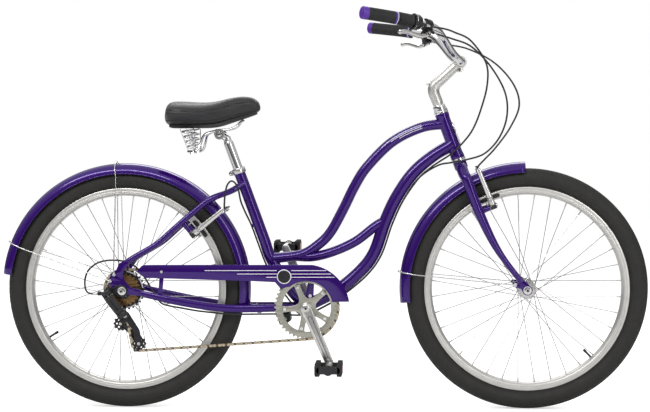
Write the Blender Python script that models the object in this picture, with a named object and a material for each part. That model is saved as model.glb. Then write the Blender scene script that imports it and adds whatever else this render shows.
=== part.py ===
import math

import bmesh
import bpy
import numpy as np
from mathutils import Matrix, Vector

# Metres, with +X forward, +Y to the rider's left and the ground at Z = 0 under the rear axle
WHEELBASE = 1.122
TYRE_RADIUS = 0.335
TYRE_SECTION = 0.053
TYRE_WALL = 0.004
RIM_INNER_RADIUS = 0.262
RIM_FLANGE_RADIUS = 0.2835
RIM_WIDTH = 0.032
RIM_WALL = 0.0018
RIM_WELL = 0.0075
BEAD_RADIUS = 0.2765
WHEEL_SEGMENTS = 26
SPOKE_COUNT = 36
SPOKE_RADIUS = 0.001
FLANGE_RADIUS = 0.026
FLANGE_THICKNESS = 0.0026
SPOKE_CIRCLE = 0.022
HUB_SHELL_RADIUS = 0.0135
AXLE_RADIUS = 0.0048
AXLE_NUT_RADIUS = 0.0092
AXLE_NUT_HEIGHT = 0.008
CONE_RADIUS = 0.0085
HUB_HALF_LENGTH = 0.040
REAR_HUB_RIGHT = 0.0605
FRONT_OLD = 0.100
REAR_OLD = 0.135
DROPOUT_PLATE = 0.005

HEAD_ANGLE = math.radians(70)
SEAT_ANGLE = math.radians(70)
RAKE = 0.0534
HEAD_BOTTOM = 0.4057
HEAD_LENGTH = 0.1331
HEAD_TUBE_RADIUS = 0.018
HEAD_TUBE_BORE = 0.0155
STEERER_RADIUS = 0.0127
QUILL_RADIUS = 0.0111
CROWN_BELOW_HEAD = 0.0097
STACK_HEIGHT = 0.026

CHAINSTAY_LENGTH = 0.514
BB_DROP = 0.048
BB_SHELL_RADIUS = 0.020
BB_SHELL_LENGTH = 0.068
BB_BORE = 0.0165
SPINDLE_RADIUS = 0.0085
SEAT_SETBACK = 0.0534
SEAT_TUBE_TOP = 0.411
SEAT_TUBE_STRAIGHT = 0.275
SEAT_TUBE_RADIUS = 0.0159
SEATPOST_RADIUS = 0.0136
SEATPOST_INSERTION = 0.110
SEATPOST_RISE = 0.094
SEAT_TUBE_BORE_DEPTH = 0.180
UPPER_TUBE_RADIUS = 0.0143
DOWN_TUBE_RADIUS = 0.01745
BRANCH_TUBE_RADIUS = 0.0135
SEATSTAY_RADIUS = 0.0083
CHAINSTAY_HALF_HEIGHT = 0.011
CHAINSTAY_HALF_WIDTH = 0.0068

CHAIN_PITCH = 0.0127
RING_TEETH = 44
COG_TEETH = (28, 24, 22, 20, 18, 16, 14)
PULLEY_TEETH = 10
COG_SPACING = 0.005
FREEWHEEL_BODY_RADIUS = 0.0235
LARGEST_COG_Y = -0.0315
RING_Y = -0.046
RING_THICKNESS = 0.002
COG_THICKNESS = 0.0018
CHAIN_HALF_WIDTH = 0.00365
CHAIN_PLATE = 0.0011
CHAIN_HALF_HEIGHT = 0.004
CHAIN_WEB = 0.0009
GUIDE_PULLEY = (-0.012, -0.096)
TENSION_PULLEY = (0.039, -0.152)
CAGE_HINGE = (0.004, -0.071)
CLAW_PLATE = 0.003
LINK_FIXED = (-0.034, -0.014)
LINK_MOVED = (-0.006, -0.058)
LINK_PINS = {"outer": (-0.0960, -0.0760), "inner": (-0.0810, -0.0610)}
RING_BOLT_CIRCLE = 0.060
RING_INNER_RADIUS = 0.068
CRANK_LENGTH = 0.170
CRANK_ANGLE = -67.0
CRANK_INNER_Y = 0.065
CRANK_THICKNESS = 0.014
PEDAL_PIN_RADIUS = 0.0055
PEDAL_INNER_Y = 0.095
PEDAL_LENGTH = 0.090
PEDAL_HALF_CHORD = 0.037
PEDAL_HALF_HEIGHT = 0.017

FENDER_TOP_RADIUS = 0.353
FENDER_SKIRT_RADIUS = 0.325
FENDER_HALF_WIDTH = 0.033
FENDER_FACETS = 5
SEATSTAY_BRIDGE = (0.252, 0.2585)
CHAINSTAY_BRIDGE = (0.3655, -0.050)
SHEET = 0.0015
STAND_HALF_WIDTH = 0.028
STAY_WIRE_RADIUS = 0.0018
BRAKE_PIVOT_RADIUS = 0.249
BRAKE_PAD_RADIUS = 0.272
BRAKE_ARM_LENGTH = 0.112
BRAKE_PIVOT_Y = 0.043
BRAKE_TIP_Y = 0.054
BRAKE_BARREL = 0.009
PAD_GAP = 0.0015
FRONT_BRAKE_ANGLE = 112.0
REAR_BRAKE_ANGLE = 38.5

GUARD_Y = -0.0606
BAR_RADIUS = 0.0111
BAR_CENTRE_RADIUS = 0.0127
GRIP_RADIUS = 0.0165
GRIP_LENGTH = 0.100
TWIST_LENGTH = 0.040
TWIST_RADIUS = 0.0172
TWIST_CLEARANCE = 0.0022
TWIST_PLAY = 0.0008
HOUSING_LENGTH = 0.022
HOUSING_RADIUS = 0.0215
GRIP_END = 0.003
BRACKET_FROM_END = 0.182
BRACKET_LENGTH = 0.018
LEVER_PIN_RADIUS = 0.0022
BAR_HALF_WIDTH = 0.330
BAR_STATIONS = 13
CABLE_RADIUS = 0.0025
GAP = 0.0003
SLEEVE_BORE = BAR_RADIUS + 3 * GAP
RAIL_RADIUS = 0.0035
SPRING_Y = 0.058
SPRING_TURNS = 4.0
SPRING_WIRE = 0.0021
LARGE_ROUND = 14
MIDDLE_ROUND = 10
TUBE_ROUND = 8
SMALL_ROUND = 6
TUBE_SAG = 0.0011
CABLE_SAG = 0.0015

REAR_AXLE = np.array((0.0, 0.0, TYRE_RADIUS))
FRONT_AXLE = np.array((WHEELBASE, 0.0, TYRE_RADIUS))
BB = REAR_AXLE + np.array((math.sqrt(CHAINSTAY_LENGTH**2 - BB_DROP**2), 0.0, -BB_DROP))
STEER_UP = np.array((-math.cos(HEAD_ANGLE), 0.0, math.sin(HEAD_ANGLE)))
STEER_FORWARD = np.array((math.sin(HEAD_ANGLE), 0.0, math.cos(HEAD_ANGLE)))
SEAT_UP = np.array((-math.cos(SEAT_ANGLE), 0.0, math.sin(SEAT_ANGLE)))
SIDEWAYS = np.array((0.0, 1.0, 0.0))
SIDES = {"left": 1, "right": -1}
PAINT = ((0.075, 0.02, 0.30), 0.22, 0.1)
SILVER = ((0.62, 0.62, 0.60), 0.3, 0.9)
DARK = ((0.02, 0.02, 0.022), 0.45, 0.0)
RUBBER = ((0.025, 0.025, 0.027), 0.8, 0.0)
LEATHER = ((0.05, 0.045, 0.042), 0.6, 0.0)
BRONZE = ((0.30, 0.19, 0.09), 0.35, 0.8)

# The saddle's cross-sections: distance ahead of the clamp, half width, height of the top and of the edge
SADDLE_STATIONS = (
    (-0.162, 0.060, 0.060, 0.030),
    (-0.155, 0.085, 0.082, 0.026),
    (-0.140, 0.102, 0.095, 0.024),
    (-0.112, 0.108, 0.098, 0.0235),
    (-0.080, 0.104, 0.0965, 0.0235),
    (-0.048, 0.088, 0.096, 0.024),
    (-0.018, 0.064, 0.100, 0.028),
    (0.014, 0.043, 0.1075, 0.037),
    (0.046, 0.032, 0.1115, 0.047),
    (0.074, 0.0275, 0.1085, 0.0560),
    (0.090, 0.022, 0.098, 0.0620),
    (0.096, 0.012, 0.086, 0.0680),
)

# Points along each cable's housing, from the lever or shifter to its stop
FRONT_BRAKE_ROUTE = (
    (0.8633, 0.2251, 1.0330),
    (0.8790, 0.2080, 1.0285),
    (0.9050, 0.1750, 1.0220),
    (0.9650, 0.1150, 1.0060),
    (1.0350, 0.0550, 0.9650),
    (1.0850, 0.0050, 0.9050),
    (1.1000, -0.0350, 0.8450),
    (1.0750, -0.0620, 0.7850),
    (1.0350, -0.0750, 0.7300),
    (1.0050, -0.0760, 0.6980),
    (0.9890, -0.0690, 0.6810),
    (0.9852, -0.0580, 0.6740),
    (0.9850, -0.0450, 0.6735),
    (0.9850, 0.0000, 0.6735),
    (0.9850, 0.0540, 0.6735),
)
REAR_BRAKE_ROUTE = (
    (0.8633, -0.2251, 1.0330),
    (0.8790, -0.2080, 1.0285),
    (0.9150, -0.1650, 1.0200),
    (0.9660, -0.1120, 1.0020),
    (1.0200, -0.0680, 0.9500),
    (1.0600, -0.0500, 0.8800),
    (1.0660, -0.0420, 0.8150),
    (1.0450, -0.0380, 0.7550),
    (1.0050, -0.0360, 0.7120),
    (0.9550, -0.0340, 0.6950),
    (0.9150, -0.0200, 0.6870),
    (0.8760, 0.0030, 0.6780),
    (0.8237, 0.0060, 0.6430),
    (0.7806, 0.0060, 0.5816),
    (0.7497, 0.0060, 0.5150),
    (0.7179, 0.0060, 0.4270),
    (0.6737, 0.0060, 0.3680),
    (0.6037, 0.0060, 0.3110),
    (0.5600, 0.0060, 0.2850),
    (0.5118, 0.0060, 0.2620),
    (0.4860, 0.0030, 0.2650),
    (0.4745, 0.0000, 0.2810),
    (0.4630, 0.0000, 0.2980),
    (0.4430, 0.0000, 0.3250),
    (0.4290, 0.0000, 0.3480),
    (0.4090, 0.0000, 0.3790),
    (0.3925, 0.0000, 0.4098),
    (0.3735, 0.0000, 0.4618),
    (0.3545, 0.0000, 0.5139),
    (0.3400, -0.0180, 0.5500),
    (0.3300, -0.0400, 0.5820),
    (0.3250, -0.0500, 0.6120),
    (0.3170, -0.0540, 0.6320),
    (0.3050, -0.0570, 0.6390),
    (0.2940, -0.0600, 0.6260),
    (0.2890, -0.0650, 0.6000),
    (0.2868, -0.0640, 0.5750),
    (0.2860, -0.0560, 0.5635),
    (0.2860, -0.0430, 0.5625),
    (0.2860, 0.0000, 0.5625),
    (0.2860, 0.0540, 0.5625),
)
SHIFT_ROUTE = (
    (0.8441, -0.2629, 1.0510),
    (0.8584, -0.2530, 1.0479),
    (0.8930, -0.2150, 1.0440),
    (0.9200, -0.1750, 1.0370),
    (0.9650, -0.1080, 1.0180),
    (1.0080, -0.0600, 0.9600),
    (1.0120, -0.0420, 0.9000),
    (0.9940, -0.0360, 0.8300),
    (0.9720, -0.0340, 0.7770),
    (0.9440, -0.0320, 0.7400),
    (0.9150, -0.0280, 0.7120),
    (0.8820, -0.0130, 0.6900),
    (0.8560, -0.0070, 0.6720),
    (0.8237, -0.0060, 0.6430),
    (0.7806, -0.0060, 0.5816),
    (0.7497, -0.0060, 0.5150),
    (0.7179, -0.0060, 0.4270),
    (0.6737, -0.0060, 0.3680),
    (0.6037, -0.0060, 0.3110),
    (0.5600, -0.0060, 0.2850),
    (0.5118, -0.0080, 0.2620),
    (0.4900, -0.0200, 0.2620),
    (0.4690, -0.0330, 0.2640),
    (0.4400, -0.0350, 0.2665),
    (0.4198, -0.0360, 0.2670),
    (0.3800, -0.0390, 0.2670),
    (0.3000, -0.0440, 0.2675),
    (0.2150, -0.0530, 0.2765),
    (0.1600, -0.0580, 0.2865),
    (0.1300, -0.0590, 0.2920),
    (0.1060, -0.0545, 0.3000),
    (0.0860, -0.0510, 0.3270),
    (0.0600, -0.0500, 0.3700),
    (0.0350, -0.0500, 0.4000),
    (0.0050, -0.0505, 0.4150),
    (-0.0350, -0.0540, 0.4190),
    (-0.0700, -0.0575, 0.4120),
    (-0.0960, -0.0575, 0.3920),
    (-0.1060, -0.0580, 0.3680),
    (-0.1050, -0.0660, 0.3470),
    (-0.0970, -0.0790, 0.3330),
    (-0.0820, -0.0870, 0.3285),
    (-0.0670, -0.0885, 0.3285),
)


def at(x, y, z):
    return np.array((x, y, z), float)


def head(along):
    """A point on the steering axis, measured up from the foot of the wheel's offset."""
    return FRONT_AXLE - RAKE * STEER_FORWARD + along * STEER_UP


def seat(along):
    """A point on the seat tube's straight axis, measured up from the bottom bracket's height."""
    return BB + at(-SEAT_SETBACK, 0, 0) + along * SEAT_UP


def from_axle(axle, x, z, y=0.0):
    return axle + at(x, y, z)


def polar(centre, radius, degrees, y=0.0):
    angle = math.radians(degrees)
    return centre + at(radius * math.cos(angle), y, radius * math.sin(angle))


def unit(vector):
    return vector / np.linalg.norm(vector)


def mirrored(points):
    return [point * np.array((1, -1, 1)) for point in points]


def bowed(start, end, bows):
    """Control points from start to end, each bow a share of the way and an offset in metres."""
    along = end - start
    across = unit(np.array((-along[2], 0.0, along[0])))
    return [start] + [start + share * along + offset * across for share, offset in bows] + [end]


def smooth(points, count):
    """A curve through the points, at even steps of length; extra columns such as a radius ride along."""
    knots = np.array(points, float)
    padded = np.vstack((2 * knots[0] - knots[1], knots, 2 * knots[-1] - knots[-2]))
    fine = []
    for i in range(len(knots) - 1):
        a, b, c, d = padded[i : i + 4]
        for t in np.linspace(0, 1, 24, endpoint=False):
            square = (2 * a - 5 * b + 4 * c - d) * t**2
            cube = (3 * b - 3 * c + d - a) * t**3
            fine.append(0.5 * (2 * b + (c - a) * t + square + cube))
    fine.append(knots[-1])
    fine = np.array(fine)
    steps = np.linalg.norm(np.diff(fine[:, :3], axis=0), axis=1)
    length = np.concatenate(([0.0], np.cumsum(steps)))
    wanted = np.linspace(0, length[-1], count)
    return np.array([np.interp(wanted, length, column) for column in fine.T]).T


def wire(name, points, radius, look, origin=(0, 0, 0)):
    """A round wire through the points with flat ends."""
    curve = bpy.data.curves.new(name, "CURVE")
    curve.dimensions = "3D"
    line = curve.splines.new("POLY")
    line.points.add(len(points) - 1)
    for spot, point in zip(line.points, points):
        spot.co = (*(point - np.array(origin)), 1.0)
    curve.bevel_depth = radius
    curve.bevel_resolution = 1
    curve.render_resolution_u = 0
    curve.use_fill_caps = True
    curve.materials.append(finish(name, look))
    item = bpy.data.objects.new(name, curve)
    item.location = Vector(origin)
    bpy.context.scene.collection.objects.link(item)
    return item


def eased(points, sag):
    """The same curve with stations only where a straight run would stray from it by more than the sag."""
    fine = smooth(points, 500)
    kept = [0]
    for i in range(2, len(fine)):
        start = fine[kept[-1], :3]
        chord = unit(fine[i, :3] - start)
        strays = np.linalg.norm(np.cross(fine[kept[-1] : i, :3] - start, chord), axis=1)
        if strays.max() > sag:
            kept.append(i - 1)
    if kept[-1] > len(fine) - 8:
        kept.pop()
    return fine[kept + [len(fine) - 1]]


def with_radius(points, radii):
    return [np.append(point, radius) for point, radius in zip(points, radii)]


def sweep(path, radius, sides=12, squash=1.0, seed=SIDEWAYS):
    """A closed tube along a path; radius may vary, and squash narrows it along the seed direction."""
    path = np.array(path, float)[:, :3]
    radii = np.broadcast_to(radius, len(path))
    tangents = np.gradient(path, axis=0)
    tangents /= np.linalg.norm(tangents, axis=1)[:, None]
    normal = seed - np.dot(seed, tangents[0]) * tangents[0]
    verts = []
    for point, tangent, size in zip(path, tangents, radii):
        normal = unit(normal - np.dot(normal, tangent) * tangent)
        other = np.cross(tangent, normal)
        for k in range(sides):
            angle = 2 * math.pi * k / sides
            verts.append(point + size * (squash * math.cos(angle) * normal + math.sin(angle) * other))
    faces = [list(range(sides)), list(range(len(verts) - sides, len(verts)))]
    for i in range(len(path) - 1):
        for k in range(sides):
            a = i * sides + k
            b = i * sides + (k + 1) % sides
            faces.append([a, b, b + sides, a + sides])
    return verts, faces


def clear_bore(radius, sides=MIDDLE_ROUND):
    """A bore whose flats stand clear of the corners of what runs in it."""
    return (radius + GAP) / math.cos(math.pi / sides)


def rod(start, end, radius, sides=MIDDLE_ROUND):
    return sweep([start, end], radius, sides, seed=at(0.31, 0.83, 0.46))


def turned(centre, profile, segments, axis=SIDEWAYS, looped=True):
    """A profile of (radius, along) points turned about an axis; a looped one is a ring."""
    axis = unit(axis)
    first = unit(np.cross(axis, at(0.2, 0.3, 0.9)) if abs(axis[1]) < 0.9 else at(1, 0, 0))
    second = np.cross(axis, first)
    verts = []
    for k in range(segments):
        angle = 2 * math.pi * k / segments
        outward = math.cos(angle) * first + math.sin(angle) * second
        verts += [centre + radius * outward + along * axis for radius, along in profile]
    count = len(profile)
    faces = []
    for k in range(segments):
        for j in range(count if looped else count - 1):
            a = k * count + j
            b = k * count + (j + 1) % count
            c = (k + 1) % segments * count
            faces.append([a, b, c + (j + 1) % count, c + j])
    if not looped:
        faces.append([k * count for k in range(segments)])
        faces.append([k * count + count - 1 for k in range(segments)])
    return verts, faces


def plate(outline, low, high, origin=(0, 0, 0)):
    """An outline of (x, z) points given a thickness from low to high along Y."""
    count = len(outline)
    verts = [at(x, y, z) + np.array(origin) for y in (low, high) for x, z in outline]
    faces = [list(range(count)), list(range(count, 2 * count))]
    faces += [[k, (k + 1) % count, (k + 1) % count + count, k + count] for k in range(count)]
    return verts, faces


def arc(centre, radius, start, end, count):
    angles = np.radians(np.linspace(start, end, count))
    return [(centre[0] + radius * math.cos(a), centre[1] + radius * math.sin(a)) for a in angles]


def strap(a, b, radius_a, radius_b, count=5):
    """The outline round two circles, as of a lever or a link with round ends."""
    heading = math.degrees(math.atan2(b[1] - a[1], b[0] - a[0]))
    lean = math.degrees(math.asin((radius_a - radius_b) / math.dist(a, b)))
    far = arc(b, radius_b, heading - 90 + lean, heading + 90 - lean, count)
    near = arc(a, radius_a, heading + 90 - lean, heading + 270 + lean, count)
    return far + near


def block(centre, size, forward=(1, 0, 0), up=(0, 0, 1)):
    forward = unit(np.array(forward, float))
    side = unit(np.cross(np.array(up, float), forward))
    top = np.cross(forward, side)
    half = np.array(size) / 2
    signs = [(i, j, k) for i in (-1, 1) for j in (-1, 1) for k in (-1, 1)]
    verts = [centre + i * half[0] * forward + j * half[1] * side + k * half[2] * top for i, j, k in signs]
    faces = [[0, 1, 3, 2], [4, 5, 7, 6], [0, 1, 5, 4], [2, 3, 7, 6], [0, 2, 6, 4], [1, 3, 7, 5]]
    return verts, faces


def toothed(teeth, root, tip):
    """A sprocket's outline: each tooth rises from the root circle to its tip."""
    points = []
    for k in range(teeth):
        for share, radius in ((-0.5, root), (0.0, tip)):
            angle = 2 * math.pi * (k + share) / teeth
            points.append((radius * math.cos(angle), radius * math.sin(angle)))
    return points


def pitch_radius(teeth):
    return CHAIN_PITCH / (2 * math.sin(math.pi / teeth))


def finish(name, look):
    material = bpy.data.materials.new(name + "_finish")
    material.use_nodes = True
    shader = material.node_tree.nodes["Principled BSDF"]
    colour, roughness, metallic = look
    shader.inputs["Base Color"].default_value = (*colour, 1.0)
    shader.inputs["Roughness"].default_value = roughness
    shader.inputs["Metallic"].default_value = metallic
    return material


def add(name, shape, look=None, origin=(0, 0, 0)):
    """One object from vertices and faces, its own origin where its joint or its seat lies."""
    verts, faces = shape
    origin = np.array(origin, float)
    mesh = bpy.data.meshes.new(name)
    mesh.from_pydata([tuple(v - origin) for v in verts], [], faces)
    work = bmesh.new()
    work.from_mesh(mesh)
    bmesh.ops.recalc_face_normals(work, faces=work.faces)
    work.to_mesh(mesh)
    work.free()
    mesh.shade_smooth()
    mesh.set_sharp_from_angle(angle=math.radians(35))
    item = bpy.data.objects.new(name, mesh)
    item.location = Vector(origin)
    bpy.context.scene.collection.objects.link(item)
    if look:
        mesh.materials.append(finish(name, look))
    else:
        item.hide_render = True
        item.display_type = "WIRE"
    return item


def combine(item, shapes, operation):
    for number, shape in enumerate(shapes):
        tool = add(f"{item.name}_{operation.lower()}_{number}", shape)
        change = item.modifiers.new(tool.name, "BOOLEAN")
        change.operation = operation
        change.solver = "EXACT"
        change.object = tool
        hang(item, tool)
    return item


def join(item, *shapes):
    return combine(item, shapes, "UNION")


def cut(item, *shapes):
    return combine(item, shapes, "DIFFERENCE")


def hang(parent, *items):
    """Parent the items where they stand."""
    stand = Matrix.LocRotScale(parent.location, parent.rotation_quaternion, None)
    for item in items:
        item.parent = parent
        item.matrix_parent_inverse = stand.inverted()


def joint(name, place, axis, *moved):
    """An empty on a joint's axis, its Z along that axis, carrying what moves about it."""
    guide = bpy.data.objects.new(name, None)
    guide.empty_display_size = 0.03
    guide.rotation_mode = "QUATERNION"
    guide.location = Vector(place)
    guide.rotation_quaternion = Vector(axis).to_track_quat("Z", "Y")
    guide.hide_render = True
    bpy.context.scene.collection.objects.link(guide)
    hang(guide, *(bpy.data.objects[word] for word in moved))


def wheel(prefix, axle, hub_left, hub_right, flange_left, flange_right):
    """A tyre, a rim and a laced hub about one axle."""
    section = TYRE_SECTION / 2
    middle = TYRE_RADIUS - section
    bead_y = RIM_WIDTH / 2 - RIM_WALL - GAP
    around = np.radians(np.linspace(-148, 148, 6))
    outside = [(middle + section * math.cos(a), section * math.sin(a)) for a in around]
    hollow = section - TYRE_WALL
    inside = [(middle + hollow * math.cos(a), hollow * math.sin(a)) for a in np.radians((75, -75))]
    beads = [(BEAD_RADIUS, bead_y), (BEAD_RADIUS, bead_y - TYRE_WALL)]
    other_beads = [(radius, -y) for radius, y in reversed(beads)]
    tyre = add(prefix + "_tyre", turned(axle, outside + beads + inside + other_beads,
        WHEEL_SEGMENTS), RUBBER, axle)
    half = RIM_WIDTH / 2
    inner = half - RIM_WALL
    side = [(RIM_INNER_RADIUS, 0.009), (RIM_INNER_RADIUS + 0.006, half), (RIM_FLANGE_RADIUS, half)]
    side += [(RIM_FLANGE_RADIUS, inner), (RIM_INNER_RADIUS + RIM_WELL, inner)]
    channel = side + [(radius, -y) for radius, y in reversed(side)]
    rim = add(prefix + "_rim", turned(axle, channel, WHEEL_SEGMENTS), SILVER, axle)
    thick = FLANGE_THICKNESS / 2
    bore = clear_bore(AXLE_RADIUS)
    profile = [(bore, hub_right), (HUB_SHELL_RADIUS, hub_right)]
    for flange in (flange_right, flange_left):
        profile += [(HUB_SHELL_RADIUS, flange - thick), (FLANGE_RADIUS, flange - thick)]
        profile += [(FLANGE_RADIUS, flange + thick), (HUB_SHELL_RADIUS, flange + thick)]
    profile += [(HUB_SHELL_RADIUS, hub_left), (bore, hub_left)]
    hub = add(prefix + "_hub", turned(axle, profile, MIDDLE_ROUND), SILVER, axle)
    lean = 360 / SPOKE_COUNT * 6
    rim_flat = RIM_INNER_RADIUS * math.cos(math.pi / WHEEL_SEGMENTS)
    for turn, way in (("leading", 1), ("trailing", -1)):
        verts, faces = [], []
        for number, flange in enumerate((flange_left, flange_right)):
            for k in range(SPOKE_COUNT // 4):
                hub_angle = 720 / SPOKE_COUNT * (2 * k + (way < 0)) + 360 / SPOKE_COUNT * number
                start = polar(axle, SPOKE_CIRCLE, hub_angle, flange + way * (thick + 0.4 * SPOKE_RADIUS))
                end = polar(axle, rim_flat - 3 * GAP, hub_angle + way * lean + 5, 2 * way * SPOKE_RADIUS)
                more, sides = sweep([start, end], SPOKE_RADIUS * 1.1, 3)
                faces += [[index + len(verts) for index in face] for face in sides]
                verts += more
        join(hub, (verts, faces))
    return tyre, rim, hub


def bearing_seats(name, axle, half_span, dropout_inside, cones, nuts):
    """A wheel's axle with the cones and locknuts inside the dropouts and the nuts outside them."""
    ends = [axle - half_span * SIDEWAYS, axle + half_span * SIDEWAYS]
    item = add(name, rod(*ends, AXLE_RADIUS, SMALL_ROUND), SILVER, axle)
    for side, cone, nut in zip(SIDES.values(), cones, nuts):
        inner, outer = axle + side * cone * SIDEWAYS, axle + side * (dropout_inside - GAP) * SIDEWAYS
        join(item, rod(inner, outer, CONE_RADIUS, SMALL_ROUND))
        inner = axle + side * nut * SIDEWAYS
        join(item, rod(inner, inner + side * AXLE_NUT_HEIGHT * SIDEWAYS, AXLE_NUT_RADIUS, 6))
    return item


def bearing(axle, point):
    return math.degrees(math.atan2(point[2] - axle[2], point[0] - axle[0]))


def fender_crown():
    """The radius of the flat that runs along the top of a fender's section."""
    return FENDER_SKIRT_RADIUS + (FENDER_TOP_RADIUS - FENDER_SKIRT_RADIUS) * math.cos(math.radians(90 / FENDER_FACETS))


def fender_seat(item, axle, carrier, radius):
    """The post from a crown or a bridge down to the fender it carries."""
    drop = np.linalg.norm(carrier - axle) - fender_crown() - GAP
    join(item, rod(carrier, carrier + drop * unit(axle - carrier), radius, 6))


def fender(name, axle, marks, counts):
    """A gutter-shaped guard round the tyre, with a station at each marked angle and counts of steps between."""
    rise = FENDER_TOP_RADIUS - FENDER_SKIRT_RADIUS
    stations = [marks[0]]
    for start, end, steps in zip(marks, marks[1:], counts):
        stations += list(np.linspace(start, end, steps + 1)[1:])
    angles = np.linspace(-90, 90, FENDER_FACETS + 1)
    outer = [(math.sin(math.radians(a)), math.cos(math.radians(a))) for a in angles]
    section = [(FENDER_SKIRT_RADIUS + rise * up, FENDER_HALF_WIDTH * side) for side, up in outer]
    section += [
        (FENDER_SKIRT_RADIUS + (rise - SHEET) * up, (FENDER_HALF_WIDTH - SHEET) * side)
        for side, up in reversed(outer)
    ]
    verts = []
    for degrees in stations:
        verts += [polar(axle, radius, degrees, y) for radius, y in section]
    count = len(section)
    faces = [list(range(count)), list(range(len(verts) - count, len(verts)))]
    for i in range(len(stations) - 1):
        for j in range(count):
            a = i * count + j
            b = i * count + (j + 1) % count
            faces.append([a, b, b + count, a + count])
    return add(name, (verts, faces), PAINT, axle)


def fender_stay(name, axle, degrees, eye, eye_y):
    """A wire from an eye on one dropout, over the fender's crown, to the other dropout."""
    clear = STAY_WIRE_RADIUS + 0.0040
    rise = FENDER_TOP_RADIUS + clear - FENDER_SKIRT_RADIUS
    over = []
    for side in np.linspace(90, -90, 6):
        radius = FENDER_SKIRT_RADIUS + rise * math.cos(math.radians(side))
        over.append(polar(axle, radius, degrees,
            (FENDER_HALF_WIDTH + clear) * math.sin(math.radians(side))))
    below = polar(axle, FENDER_SKIRT_RADIUS - 0.030, degrees, FENDER_HALF_WIDTH + clear + 0.003)
    foot = from_axle(axle, *eye, eye_y)
    flat = unit((below - foot) * np.array((1, 0, 1)))
    path = [foot, foot + 0.014 * flat, foot + 0.030 * flat, below] + over
    path += mirrored([below, path[2], path[1], foot])
    item = add(name, sweep(eased(path, 0.0010), STAY_WIRE_RADIUS, 4), SILVER, foot)
    for centre in (foot, foot * np.array((1, -1, 1))):
        join(item, rod(centre - 0.0016 * SIDEWAYS, centre + 0.0016 * SIDEWAYS, 0.0048, SMALL_ROUND))
    return item


def brake_frame(axle, degrees):
    """The brake's axes in the wheel's plane: outward along the arms, and from the arms to the stud's root."""
    outward = unit(polar(axle, 1, degrees) - axle)
    return outward, np.cross(outward, SIDEWAYS)


def brake_stud(item, axle, degrees, reach):
    outward, root = brake_frame(axle, degrees)
    for side in SIDES.values():
        centre = axle + BRAKE_PIVOT_RADIUS * outward + side * BRAKE_PIVOT_Y * SIDEWAYS
        join(item, rod(centre + (BRAKE_BARREL + GAP) * root, centre + reach * root, 0.0070, SMALL_ROUND))
        join(item, rod(centre - (BRAKE_BARREL + 0.002) * root,
            centre + (BRAKE_BARREL + 0.003) * root, 0.0035, SMALL_ROUND))


def brake_arm(name, axle, degrees, side):
    """One linear-pull arm with its shoe, turning on the stud."""
    outward, root = brake_frame(axle, degrees)
    hinge = axle + BRAKE_PIVOT_RADIUS * outward + side * BRAKE_PIVOT_Y * SIDEWAYS
    tip = axle + (BRAKE_PIVOT_RADIUS + BRAKE_ARM_LENGTH) * outward + side * BRAKE_TIP_Y * SIDEWAYS
    item = add(name, sweep([hinge, tip], [BRAKE_BARREL - 0.0005, 0.0060], TUBE_ROUND, 0.55), SILVER, hinge)
    pad = axle + BRAKE_PAD_RADIUS * outward
    inner_y = RIM_WIDTH / 2 + PAD_GAP
    pad_thickness = 0.0095
    join(
        item,
        rod(hinge - BRAKE_BARREL * root, hinge + BRAKE_BARREL * root, 0.0075, 10),
        rod(pad + side * (inner_y + 0.006) * SIDEWAYS,
            pad + side * (BRAKE_PIVOT_Y + 0.008) * SIDEWAYS, 0.0035, 6),
        block(pad + side * (inner_y + pad_thickness / 2) * SIDEWAYS, (0.058, pad_thickness, 0.0105),
            root, outward),
    )
    cut(item, rod(hinge - 0.020 * root, hinge + 0.020 * root, clear_bore(0.0035, SMALL_ROUND), SMALL_ROUND))
    return item


def frame_bows():
    """The routes of the frame's bent tubes between their joints."""
    upper = bowed(
        head(HEAD_BOTTOM + HEAD_LENGTH - 0.030),
        seat(0.1405),
        [(0.10, -0.033), (0.24, -0.050), (0.40, -0.038), (0.50, -0.016), (0.60, 0.014), (0.71, 0.043),
         (0.79, 0.050), (0.88, 0.043)],
    )
    down = bowed(
        head(HEAD_BOTTOM + 0.042),
        BB,
        [(0.10, -0.019), (0.22, -0.028), (0.35, -0.018), (0.47, 0.004), (0.61, 0.039),
            (0.72, 0.045), (0.86, 0.032)],
    )
    return upper, down


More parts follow.
